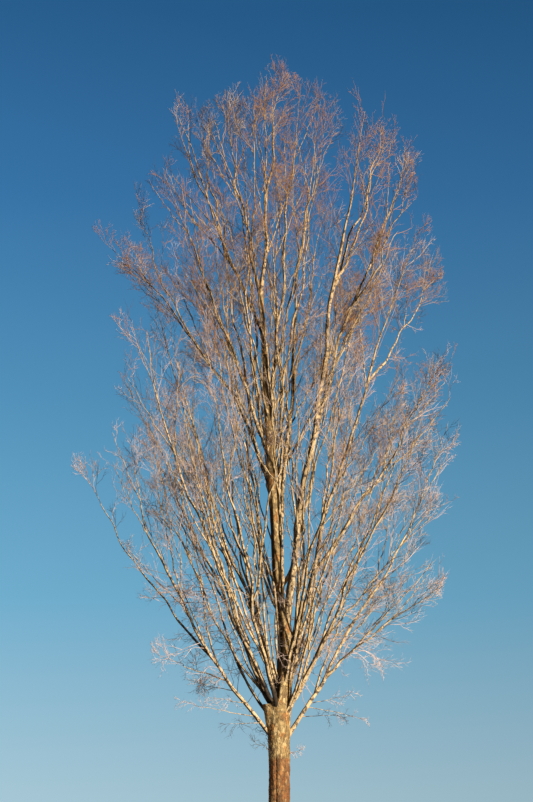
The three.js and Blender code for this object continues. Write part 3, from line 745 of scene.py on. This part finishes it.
# A shoot with no room at its full length is tried at these shares of it, and lives at the longest that fits.
CUTS = (0.55, 0.7, 0.85, 1.0)
# By chance a shoot's angle and length are from the first share of the order's to the two shares' sum.
UNEVEN = {"angle": (0.8, 0.4), "length": (0.75, 0.4)}
# A direction that rises or falls by more than this is steep, and its rings are set by X instead of by Z.
STEEP = 0.7


def new_order(count, angle, lift, start, end, shorter, share, more, points, crook):
    """An order of shoots, or how stems bear them, as a row of numbers under their names.

    They are how many, their angle and lift, the stretch of the stem that bears them, by what share the last
    is shorter than the first, the first's length as a share of a measure and more, and a line's points and
    crook.
    """
    return {
        "count": count, "angle": angle, "lift": lift, "start": start, "end": end, "shorter": shorter,
        "share": share, "more": more, "points": points, "crook": crook,
    }


LONG_FORKS = new_order(2, 15, 0.08, 0.12, 0.5, 0.35, 4.0, 0, 16, 0.009)
FORKS = new_order(3, 21, 0.14, 0.4, 0.92, 0.55, 1.0, 0, 16, 0.01)
LONG_FORK_FORKS = new_order(2, 22, 0.14, 0.25, 0.85, 0.45, 0.5, 0, 16, 0.01)
LEADER_FORKS = new_order(9, 22, 0.2, 0.0, 0.98, 0.5, 1.0, 0, 16, 0.01)
SECOND_FORKS = new_order(4, 30, 0.2, 0.3, 0.9, 0.4, 0.45, 0, 9, 0.02)
# A limb's forks measure so many times its spread, and a slim limb's fewer.
FORK_SPREADS = {"bough": 2.3, "slim": 1.3}
# A stem's radius at its foot, in metres: a least one, and more for each metre of its length.
FORK_RADII = {"forks": (0.0038, 0.0045), "second_forks": (0.0026, 0.0042)}
FORK_SIDES = {"forks": 8, "second_forks": 5}
# Each fork stands this step further on in the bark's pattern.
STEM_STEP = np.array([0.37, 0.11, 0])


def crown_radius(height):
    """The crown's radius at each height: it widens to the shoulder and closes to the top, each by a power."""
    below = rising(height, CROWN["foot"], CROWN["shoulder"] - CROWN["foot"])
    widened = 1 - (1 - below) ** CROWN["foot_power"]
    widening = CROWN["foot_radius"] + (CROWN["radius"] - CROWN["foot_radius"]) * widened
    above = rising(height, CROWN["shoulder"], CROWN["top"] - CROWN["shoulder"])
    return np.where(height < CROWN["shoulder"], widening, CROWN["radius"] * (1 - above ** CROWN["top_power"]))


def outline(places):
    """The crown's reach towards each place: the left or right reach, blended with their mean for depth."""
    left = np.interp(places[..., 2], OUTLINE_HEIGHTS, OUTLINE_LEFT)
    right = np.interp(places[..., 2], OUTLINE_HEIGHTS, OUTLINE_RIGHT)
    across = places[..., 0] / np.maximum(np.hypot(places[..., 0], places[..., 1]), 0.001)
    return (left + right) / 2 + (right - left) / 2 * across


def at_share(lines, share):
    """Points and headings at shares of each line's length: rows of lines against a row of shares."""
    place = np.clip(share, 0, 0.9999) * (lines.shape[1] - 1)
    low = place.astype(int)
    here, after = lines[:, low], lines[:, low + 1]
    heading = after - here
    heading /= np.linalg.norm(heading, axis=-1, keepdims=True)
    return here + (after - here) * (place - low)[None, :, None], heading


def bent_lines(root, direction, length, lift, points):
    """Lines that leave their roots in a direction and bend upwards with the square of the way along."""
    share = np.linspace(0, 1, points)[None, :, None]
    upwards = np.array([0, 0, 1.0]) * lift * share**2
    return root[:, None] + (direction[:, None] * share + upwards) * length[:, None, None]


def crooked(lines, amount, seed):
    """Lines whose points after the first are moved aside by chance, by up to a share of the line's length."""
    length = np.linalg.norm(lines[:, -1] - lines[:, 0], axis=-1)[:, None, None]
    keys = seed[:, None, None] * 0.731 + np.arange(lines.shape[1])[None, :, None] * 3.17 + np.arange(3) * 0.59
    aside = (chance(keys) - 0.5) * 2 * amount * length
    aside[:, 0] = 0
    return lines + aside


def shoots(stems, order, measure):
    """The shoots of an order on stems: roots, directions, lengths, seeds and the stem that bears each.

    Shoot k stands at the share frac(0.5 + 0.618 k) of the bearing stretch, a golden turn further round than
    the one before. It leaves the stem's heading at the order's angle. The first is as long as the order's
    share of its stem's measure and the order's more, and the others are shorter towards the stem's tip.
    """
    k = np.arange(order["count"])
    share = fraction(0.5 + k * GOLDEN_SHARE)
    along = order["start"] + (order["end"] - order["start"]) * share
    roots, heading = at_share(stems["lines"], along)
    seed = stems["seed"][:, None]
    least, more = UNEVEN["angle"]
    angle = math.radians(order["angle"]) * (least + more * chance(seed + 3 * k))
    turn = GOLDEN_TURN * k + 2 * np.pi * chance(seed)
    longest = measure * order["share"] + order["more"]
    least, more = UNEVEN["length"]
    length = longest[:, None] * (1 - order["shorter"] * share) * (least + more * chance(seed + 3 * k + 1))
    side = np.cross(heading, np.array([1.0, 0, 0]))
    side /= np.linalg.norm(side, axis=-1, keepdims=True)
    side = side * np.cos(turn)[..., None] + np.cross(heading, side) * np.sin(turn)[..., None]
    direction = heading * np.cos(angle)[..., None] + side * np.sin(angle)[..., None]
    return {
        "root": roots.reshape(-1, 3), "direction": direction.reshape(-1, 3), "length": length.ravel(),
        "seed": (10 * (seed + k)).ravel(), "bearer": np.repeat(np.arange(len(longest)), len(k)),
        "along": np.tile(along, len(longest)),
    }


def inside_crown(lines, limb, seed, free):
    """Which lines stay in the crown: within its outline, or close beside the limb that bears them.

    Each line has its own share of the room, by chance, so the crown's edge is ragged. Free lines are held
    only by the crown's widest reach.
    """
    height = lines[..., 2]
    foot, top = guides[limb, :1, 2], guides[limb, -1:, 2]
    step = (rising(height, foot, top - foot) * (LIMB_RINGS - 1)).astype(int)
    uneven = chance(seed * 0.37 + 5.1)[:, None]
    beside = np.hypot(guides[limb[:, None], step, 0], guides[limb[:, None], step, 1])
    beside = beside + BESIDE_LIMB * (RAGGED["least_beside"] + uneven)
    edge = outline(lines) * (RAGGED["outline"] - RAGGED["less"] * uneven)
    reach = np.maximum(crown_radius(height), BEYOND_REACH * limb_reach[limb][:, None])
    room = reach if free else np.minimum(reach, np.maximum(edge, beside))
    above = np.minimum(limb_top[limb][:, None] + HEADROOM * (1 - uneven), HIGHEST)
    inside = (np.hypot(lines[..., 0], lines[..., 1]) <= room) & (height <= above)
    inside &= np.abs(lines[..., 1]) < DEEPEST
    inside &= (lines[..., 0] > WIDEST_LEFT) & (lines[..., 0] < WIDEST_RIGHT)
    return inside.all(1)


def light(root, limb, in_clumps):
    """How likely a shoot is to live: a share of the way out to the crown's edge, and one of the way up.

    It is less in front of the leader, by a bell curve across, and on the crest's flanks, and is multiplied by
    its limb's light. Whole clumps do better or worse than those beside them, which leaves gaps of open sky.
    """
    across, height = np.abs(root[:, 0]), root[:, 2]
    edge = np.hypot(root[:, 0], root[:, 1]) / outline(root)
    lit = LIT["at_edge"] * edge - LIT["inside"] + LIT["at_top"] * rising(height, LIT["from"], LIT["over"])
    lit = np.clip(lit, LIT["least"], 1)
    in_front = np.exp(-((across / OPENING["width"]) ** 2)) * (root[:, 1] < 0) * (height < OPENING["top"])
    lit *= 1 - OPENING["loss"] * in_front
    on_crest = rising(height, CREST["foot"], CREST["depth"])
    lit *= 1 - CREST["loss"] * on_crest * rising(across, 0, CREST["from"])
    if in_clumps:
        clump = CLUMPS["mean"] + CLUMPS["depth"] * lumps(root, CLUMPS["size"], CLUMPS["seed"])
        lit *= np.clip(clump, CLUMPS["least"], CLUMPS["most"])
    return LIT["share"] * lit * limb_light[limb]


def grown(stems, order, measure, thinned=None, free=False):
    """The shoots of an order with room, as stems: each has the longest of a few lengths that stays inside.

    Thinned by light, evenly or in clumps, some of them die first, but few do at a stem's tip. Thinned aside,
    they die near the trunk, by how far to its left or right they stand.
    """
    given = shoots(stems, order, measure)
    if thinned:
        if thinned == "aside":
            likely = (np.abs(given["root"][:, 0]) - CLEAR_TRUNK["from"]) / CLEAR_TRUNK["over"]
        else:
            likely = light(given["root"], stems["limb"][given["bearer"]], thinned == "in clumps")
        at_tip = (given["along"] - TIP["from"]) / TIP["over"]
        alive = chance(given["seed"] * 0.61 + 2.7) < np.maximum(likely, at_tip)
        given = chosen(given, alive)
    given["limb"] = stems["limb"][given["bearer"]]
    given["share"] = np.zeros(len(given["limb"]))
    for share in CUTS:
        lines = bent_lines(given["root"], given["direction"], given["length"] * share, order["lift"], 5)
        given["share"][inside_crown(lines, given["limb"], given["seed"], free)] = share
    given = chosen(given, given["share"] > 0)
    length = given["length"] * given["share"]
    lines = bent_lines(given["root"], given["direction"], length, order["lift"], order["points"])
    return {
        "lines": crooked(lines, order["crook"], given["seed"]), "length": length, "seed": given["seed"],
        "limb": given["limb"], "bearer": given["bearer"], "steep": np.abs(given["direction"][:, 2]) > STEEP,
    }


def foot_radius(stems, radii):
    """Each stem's radius at its foot: the least one, and more for each metre of its length."""
    least, more = radii
    return least + more * stems["length"]


def joined(*groups):
    """Groups of stems put together in one, by the values that all of them have."""
    keys = set(groups[0]).intersection(*groups[1:])
    return {key: np.concatenate([group[key] for group in groups]) for key in sorted(keys)}


def chosen(stems, mask):
    """The stems that a mask or a list of numbers picks."""
    return {key: value[mask] for key, value in stems.items()}


def spikes(stems, thick, sides, taper=0.65):
    """Places and triangles of tapering stems: rings round each line but its last point, which is the tip."""
    lines = stems["lines"]
    points = lines.shape[1]
    reference = np.where(stems["steep"][:, None, None], np.array([1.0, 0, 0]), np.array([0, 0, 1.0]))
    slim = thick[:, None] * (1 - taper * np.linspace(0, 1, points)[None])
    rings = around_line(lines, slim[..., None], sides, reference)[:, :-1]
    places = np.concatenate([rings.reshape(len(lines), -1, 3), lines[:, -1:]], 1)
    walls, here, after = tube_walls(points - 1, sides)
    last = (points - 2) * sides
    tip = np.stack([last + here, last + after, np.full(sides, (points - 1) * sides)], -1)
    foot = np.stack([np.zeros(sides - 2, int), np.arange(2, sides), np.arange(1, sides - 1)], -1)
    pattern = np.concatenate([walls, tip, foot])
    triangles = pattern[None] + (np.arange(len(lines)) * places.shape[1])[:, None, None]
    return places.reshape(-1, 3), triangles.reshape(-1, 3), len(pattern)


def painted_shade_on_stems(stems, places, sides):
    """The painted shade at each vertex of the stems' spikes, whose rings stand round each point but the tip.
    """
    lines = stems["lines"]
    middles = np.concatenate([np.repeat(lines[:, :-1], sides, axis=1), lines[:, -1:]], 1)
    return painted_shade_amount(places.reshape(middles.shape), middles).ravel()


def straightened(stems, thick, sides):
    """Each vertex's place in its straightened stem, with the stems set apart so that their bark differs."""
    count, points = stems["lines"].shape[:2]
    rings = straight_rings(thick[:, None], np.linspace(0, 1, points) * stems["length"][:, None], sides)
    flat = rings.reshape(count, -1, 3)[:, : (points - 1) * sides + 1]
    return (flat + STEM_STEP * np.arange(count)[:, None, None]).reshape(-1, 3)


# The crown is worked in four parts, each the limbs of one side, so that a piece's stems hang together.
PARTS = {
    "left": [
        "left_low", "low_left", "left_far", "left_rear", "left_shoulder", "left_inner", "left_slim",
        "long_left", "long_left_upper",
    ],
    "top": [
        "upper_left", "crest_left", "crest_left_rear", "slim_front_left", "crown_left", "crown_top",
        "crown_front", "crown_rear",
    ],
    "right": [
        "right_leader", "right_crest", "right_upper", "right_main", "right_main_rear", "right_outer",
        "right_mid", "right_rear", "right_low",
    ],
    "deep": [
        "rear_right_upper", "front_left", "front_right", "front_upper", "rear_left", "rear_right",
        "rear_upper",
    ],
}
UNFORKED = ["left_far", "low_left"]
# How well the shoots of each side's limbs live, and of some limbs apart.
PART_LIGHT = np.array([0.235, 0.44, 0.34, 0.16])
LIMB_LIGHT = {
    "left_low": 0.42, "low_left": 0.17, "left_far": 0.5, "long_left": 1.1, "long_left_upper": 0.64,
    "upper_left": 0.36, "crest_left": 0.18, "crest_left_rear": 0.16, "crown_left": 0.38, "crown_top": 0.73,
    "right_low": 0.4, "right_rear": 0.5, "right_outer": 0.42, "right_mid": 0.45, "right_crest": 1.25,
    "right_leader": 1.1, "right_upper": 0.82, "right_main": 0.45, "right_main_rear": 0.8,
    "front_right": 0.26, "front_upper": 0.4,
}
# The leader bears forks as a limb does, from the foot of its free stretch, with its own seed and reach.
LEADER = len(LIMBS)
LEADER_BEARS = {"foot": 4.6, "top": TRUNK_TOP - 0.1, "reach": 2.2, "seed": 9100.0, "fork": 2.7}
limb_names = [limb[0] for limb in LIMBS]
leaning = np.array([math.cos(math.radians(limb[2])) for limb in LIMBS])
part_of_limb = np.where(leaning < -0.5, 0, np.where(leaning > 0.5, 2, 3))
for part, names in enumerate(PARTS.values()):
    part_of_limb[np.isin(limb_names, names)] = part
part_of_limb = np.append(part_of_limb, list(PARTS).index("top"))
limb_light = PART_LIGHT[part_of_limb]
for name, share in LIMB_LIGHT.items():
    limb_light[limb_names.index(name)] = share
boughs, spreads = np.array([limb[7:9] for limb in LIMBS]).T
leader_line = trunk_line(np.linspace(LEADER_BEARS["foot"], LEADER_BEARS["top"], LIMB_RINGS))
guides = np.concatenate([limb_lines, leader_line[None]])
limb_reach = np.array([limb[3] for limb in LIMBS] + [LEADER_BEARS["reach"]])
limb_top = np.array([limb[4] for limb in LIMBS] + [CROWN["top"]])
leader_stem = {
    "lines": leader_line[None], "seed": np.array([LEADER_BEARS["seed"]]), "limb": np.array([LEADER]),
}


def limb_bearers(mask, apart, lines=limb_lines):
    """The limbs that a mask picks, as stems that bear shoots, with seeds set apart by a number."""
    numbers = np.arange(LEADER)
    return chosen({"lines": lines, "seed": 100.0 * numbers + apart, "limb": numbers}, mask)


is_shoot = np.arange(LEADER) >= FIRST_SHOOT
forked = ~is_shoot & ~np.isin(limb_names, UNFORKED)
long_forked = forked & (boughs > 0)
fork_spreads = spreads * np.where(boughs > 0, FORK_SPREADS["bough"], FORK_SPREADS["slim"])
long_forks = grown(limb_bearers(long_forked, 37), LONG_FORKS, spreads[long_forked])
forks = joined(
    long_forks,
    grown(limb_bearers(forked, 51), FORKS, fork_spreads[forked]),
    grown(long_forks, LONG_FORK_FORKS, long_forks["length"]),
    grown(leader_stem, LEADER_FORKS, np.array([LEADER_BEARS["fork"]])),
)
second_forks = grown(forks, SECOND_FORKS, forks["length"], "evenly")
for part, (part_name, part_limbs) in enumerate(PARTS.items()):
    for label, stems in (("forks", forks), ("second_forks", second_forks)):
        own, sides = chosen(stems, part_of_limb[stems["limb"]] == part), FORK_SIDES[label]
        thick = foot_radius(own, FORK_RADII[label])
        places, triangles, _ = spikes(own, thick, sides)
        # Painted shade on the forks' side away from the low light and near the crotch.
        grain, painted_shade = straightened(own, thick, sides), painted_shade_on_stems(own, places, sides)
        piece = new_piece(f"{label}_{part_name}", places, triangles, [BOUGH_BARK], None, grain, painted_shade)
        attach(piece, "root")
        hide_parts(*[f"mass_{limb}" for limb in part_limbs])


# Branches and twigs
# Living wood from a finger's thickness down to a straw's, in sprays on the limbs and forks. Its thin skin has
# its own colour from spray to spray: tan, pinkish brown, grey-brown, and more rust towards the crown's top.
BRANCHES = new_order(20, 40, 0.25, 0.04, 0.98, 0.3, 1.0, 0, 5, 0.035)
TIP_BRANCHES = new_order(6, 28, 0.2, 0.76, 0.99, 0.35, 0.8, 0, 5, 0.035)
BOUGH_BRANCHES = new_order(16, 46, 0.15, 0.14, 0.55, -0.3, 0.7, 0, 5, 0.035)
FORK_BRANCHES = new_order(9, 38, 0.25, 0.15, 0.98, 0.3, 0.28, 0.24, 5, 0.035)
SECOND_FORK_BRANCHES = new_order(6, 40, 0.25, 0.25, 0.98, 0.35, 0.4, 0.16, 5, 0.035)
LOW_BRANCHES = new_order(12, 64, -0.3, 0.05, 0.42, 0.1, 1.0, 0, 5, 0.05)
SHOOT_TWIGS = new_order(13, 48, -0.2, 0.25, 0.98, 0.3, 1.0, 0, 4, 0.045)
TWIGS = new_order(4, 38, 0.2, 0.25, 0.95, 0.35, 0.55, 0.1, 4, 0.045)
LOW_TWIGS = new_order(4, 38, 0.2, 0.25, 0.95, 0.35, 0.5, 0.1, 4, 0.045)
FINE_TWIGS = new_order(4, 46, 0.08, 0.2, 0.95, 0.35, 0.36, 0.045, 2, 0.0)
TWIG_RADII = {"branches": (0.0025, 0.0036), "twigs": (0.0024, 0.0028), "fine_twigs": (0.0023, 0.0026)}
TWIG_SIDES = 3
# A slim limb bears no branches over this share of its length from its foot.
SLIM_BARE = 0.4
SPRAY_COLOURS = {
    "twig_tan": (0.62, 0.47, 0.32), "twig_pinkish": (0.65, 0.5, 0.45),
    "twig_grey_brown": (0.33, 0.265, 0.225), "twig_rust": (0.43, 0.215, 0.075),
    "twig_umber": (0.08, 0.055, 0.045), "twig_pale": (0.67, 0.53, 0.5),
}
TAN, PINKISH, GREY_BROWN, RUST, UMBER, PALE = range(len(SPRAY_COLOURS))
SKIN_ROUGHNESS = {"first": 0.5, "step": 0.06}
# The plain colours of sprays, and the draws below which each but the last is dealt.
PLAIN_COLOURS, PLAIN_DRAWS = np.array([TAN, PINKISH, GREY_BROWN, UMBER, PALE]), [0.28, 0.55, 0.68, 0.94]
# A colour's share of the sprays by height: where it starts to rise, over what span, and its least and most.
# With a span below 0 it falls. Left is how far a spray stands to the viewer's left of the middle.
# Painted shade: sprays low on the left near the trunk, where the crown shades them, are dealt umber.
SHADED_SPRAYS = {"by_height": (5.0, -1.8, 0, 0.8), "left_from": 0.2, "left_to": 1.9}
DIM = {"by_height": (9.0, 4.6, 0, 0.8), "less_far_left": 0.6, "umber": 0.45}
RUST_SHARE = {"by_height": (6.0, 9.5, 0.05, 0.7), "less_where_dull": 0.6}
# Painted light: below the crest, sprays towards the far left are dealt pale more often, as if more light
# reached them.
PALE_SHARE = {"by_height": (9.0, -9.0, 0, 0.6), "painted_light_by_left": (0.7, 0.8), "painted_light_most_left": 0.25, "below": 11.5}
# The crest's left flank is dull: less of it is rust, and more of what is dim is umber. Below the crest's foot
# the far left is less dim.
CREST_SIDE = {"foot": 12.3, "dull_left": 0.3, "far_left": 1.6, "more_umber": 0.3}
# Above this height, and up to so much more by chance, a plain spray is tan or umber.
PLAIN_HIGH = {"from": 9.5, "over": 2}
# The lowest limbs bear thin drooping branches near the trunk too.
LOW_FOOT = 4.0
MOST_TRIANGLES = 190000


def twig_skin(name, colour, roughness):
    """Thin smooth skin of one plain colour, a little glossy."""
    material, _, shader = new_material(name)
    shader.inputs["Base Color"].default_value = (*colour, 1)
    shader.inputs["Roughness"].default_value = roughness
    shader.inputs["Specular IOR Level"].default_value = 0.35
    return material


def spray_colour(stems):
    """A colour for each stem, by its spray's chance.

    High up there is more rust, grey-brown and umber and nothing pinkish, low down more that is pale, far left
    more that is pale as painted light, and low on the left, near the trunk, more that is dark as painted
    shade.
    """
    draw, second, third = (chance(stems["spray"] * a + b) for a, b in ((1.37, 4.2), (2.11, 8.9), (0.83, 1.7)))
    height, left = stems["lines"][:, 0, 2], -stems["lines"][:, 0, 0]
    # Painted shade: the share of sprays dealt umber low on the left near the trunk.
    painted_shade_share = rising(height, *SHADED_SPRAYS["by_height"]) * (left > SHADED_SPRAYS["left_from"]) * (left < SHADED_SPRAYS["left_to"])
    far_left = (left > CREST_SIDE["far_left"]) * (height < CREST_SIDE["foot"])
    dull = (left > CREST_SIDE["dull_left"]) * (height > CREST_SIDE["foot"])
    dim = rising(height, *DIM["by_height"]) * (1 - DIM["less_far_left"] * far_left)
    rust = rising(height, *RUST_SHARE["by_height"]) * (1 - RUST_SHARE["less_where_dull"] * dull)
    # Painted light: more pale sprays towards the far left.
    painted_light_leftwards = rising(left, *PALE_SHARE["painted_light_by_left"]) * (height < PALE_SHARE["below"])
    pale = rising(height, *PALE_SHARE["by_height"]) + PALE_SHARE["painted_light_most_left"] * painted_light_leftwards
    plain = PLAIN_COLOURS[np.searchsorted(PLAIN_DRAWS, draw)]
    is_high = height > PLAIN_HIGH["from"] + PLAIN_HIGH["over"] * second
    plain = np.where(is_high & (plain != UMBER), TAN, plain)
    dimmed = np.where(draw < DIM["umber"] + CREST_SIDE["more_umber"] * dull, UMBER, GREY_BROWN)
    plain = np.where(third > 1 - dim, dimmed, plain)
    lit = np.where(second < rust, RUST, np.where(second > 1 - pale, PALE, plain))
    return np.where(third < painted_shade_share, UMBER, lit)


# The stretch that bears a mass begins at the bough's end, or where a slim limb stops being bare.
bearing = np.maximum(boughs, SLIM_BARE)
outer = np.stack([limb_line(i, bearing[i] + (1 - bearing[i]) * limb_shares) for i in range(LEADER)])
is_low = (limb_lines[:, 0, 2] < LOW_FOOT) & ~is_shoot
spread = spreads[~is_shoot]
low_branches = grown(limb_bearers(is_low, 71), LOW_BRANCHES, spreads[is_low], "aside", free=True)
branches = joined(
    grown(limb_bearers(~is_shoot, 0, outer), BRANCHES, spread, "evenly"),
    grown(limb_bearers(~is_shoot, 97), TIP_BRANCHES, spread),
    grown(limb_bearers(~is_shoot, 83), BOUGH_BRANCHES, spread, "in clumps"),
    grown(forks, FORK_BRANCHES, forks["length"], "in clumps"),
    grown(second_forks, SECOND_FORK_BRANCHES, second_forks["length"], "in clumps"),
)
low_twigs = grown(low_branches, LOW_TWIGS, low_branches["length"], free=True)
low_twigs["bearer"] += len(branches["length"])
shoot_twigs = grown(limb_bearers(is_shoot, 0), SHOOT_TWIGS, spreads[is_shoot], free=True)
twigs = joined(grown(branches, TWIGS, branches["length"]), low_twigs, shoot_twigs)
branches = joined(branches, low_branches)
branches["spray"] = np.arange(len(branches["length"]))
twigs["spray"] = twigs["bearer"]
fine_twigs = grown(twigs, FINE_TWIGS, twigs["length"], free=True)
fine_twigs["spray"] = twigs["spray"][fine_twigs["bearer"]]
twig_skins = [
    twig_skin(name, colour, SKIN_ROUGHNESS["first"] + SKIN_ROUGHNESS["step"] * i)
    for i, (name, colour) in enumerate(SPRAY_COLOURS.items())
]
for label, stems in (("branches", branches), ("twigs", twigs), ("fine_twigs", fine_twigs)):
    thick = foot_radius(stems, TWIG_RADII[label])
    for part, (part_name, part_limbs) in enumerate(PARTS.items()):
        here = np.flatnonzero(part_of_limb[stems["limb"]] == part)
        per_stem = spikes(chosen(stems, here[:1]), thick[here[:1]], TWIG_SIDES)[2]
        pieces = int(np.ceil(len(here) * per_stem / MOST_TRIANGLES))
        for number, picked in enumerate(np.array_split(here, pieces)):
            own = chosen(stems, picked)
            places, triangles, _ = spikes(own, thick[picked], TWIG_SIDES)
            dealt = np.repeat(spray_colour(own), per_stem)
            piece = new_piece(f"{label}_{part_name}_{number + 1}", places, triangles, twig_skins, dealt)
            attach(piece, "root")
            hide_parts(*[f"mass_{limb}" for limb in part_limbs])


# Ground, light and backdrop
# A plain pale floor under the tree, a warm light low on the right of the viewer, as from a late sun, a soft
# even fill from all round, and a plain blue backdrop that only the viewer sees.
FLOOR = {"size": 22.0, "colour": (0.36, 0.35, 0.33, 1), "roughness": 0.9}
LOW_LIGHT = {"azimuth": -48, "height": 19, "width": 2, "strength": 8.4, "colour": (1.0, 0.86, 0.68)}
FILL = {"Color": (0.5, 0.68, 0.95, 1), "Strength": 0.065}
# The backdrop's colour by how far up the viewer looks, in linear light, and its strength's fall to the right.
RIGHTWARDS = -0.55
BACKDROP = [
    (0.01, 0.345, 0.52, 0.607), (0.145, 0.148, 0.382, 0.558), (0.284, 0.077, 0.256, 0.445),
    (0.418, 0.036, 0.157, 0.35), (0.533, 0.019, 0.1, 0.243),
]
floor_mesh = bpy.data.meshes.new("floor")
half = FLOOR["size"] / 2
floor_corners = [(-half, -half, 0), (half, -half, 0), (half, half, 0), (-half, half, 0)]
floor_mesh.from_pydata(floor_corners, [], [(0, 1, 2, 3)])
floor = bpy.data.objects.new("floor", floor_mesh)
bpy.context.scene.collection.objects.link(floor)
floor_finish, _, floor_shader = new_material("pale_floor")
floor_shader.inputs["Base Color"].default_value = FLOOR["colour"]
floor_shader.inputs["Roughness"].default_value = FLOOR["roughness"]
floor_mesh.materials.append(floor_finish)

sun_lamp = bpy.data.lights.new("low_warm_light", "SUN")
sun_lamp.energy = LOW_LIGHT["strength"]
sun_lamp.angle = math.radians(LOW_LIGHT["width"])
sun_lamp.color = LOW_LIGHT["colour"]
low_light = bpy.data.objects.new("low_warm_light", sun_lamp)
bpy.context.scene.collection.objects.link(low_light)
tilt, turn = math.radians(90 - LOW_LIGHT["height"]), math.radians(LOW_LIGHT["azimuth"] + 90)
low_light.rotation_euler = (tilt, 0, turn)

world = bpy.data.worlds.new("studio")
bpy.context.scene.world = world
world.use_nodes = True
sky = world.node_tree
sky.nodes.clear()
fill = node(sky, "ShaderNodeBackground", FILL)
toward = node(sky, "ShaderNodeSeparateXYZ", {0: node(sky, "ShaderNodeTexCoord").outputs["Generated"]}).outputs
paling = {"Color": ramp(sky, toward["Z"], BACKDROP), "Strength": scaled(sky, toward["X"], RIGHTWARDS, 1.0)}
backdrop = node(sky, "ShaderNodeBackground", paling)
seen = node(sky, "ShaderNodeLightPath").outputs["Is Camera Ray"]
mixed = node(sky, "ShaderNodeMixShader", {0: seen, 1: fill.outputs[0], 2: backdrop.outputs[0]})
sky.links.new(mixed.outputs[0], node(sky, "ShaderNodeOutputWorld").inputs["Surface"])
bpy.context.scene.view_settings.view_transform = "Standard"
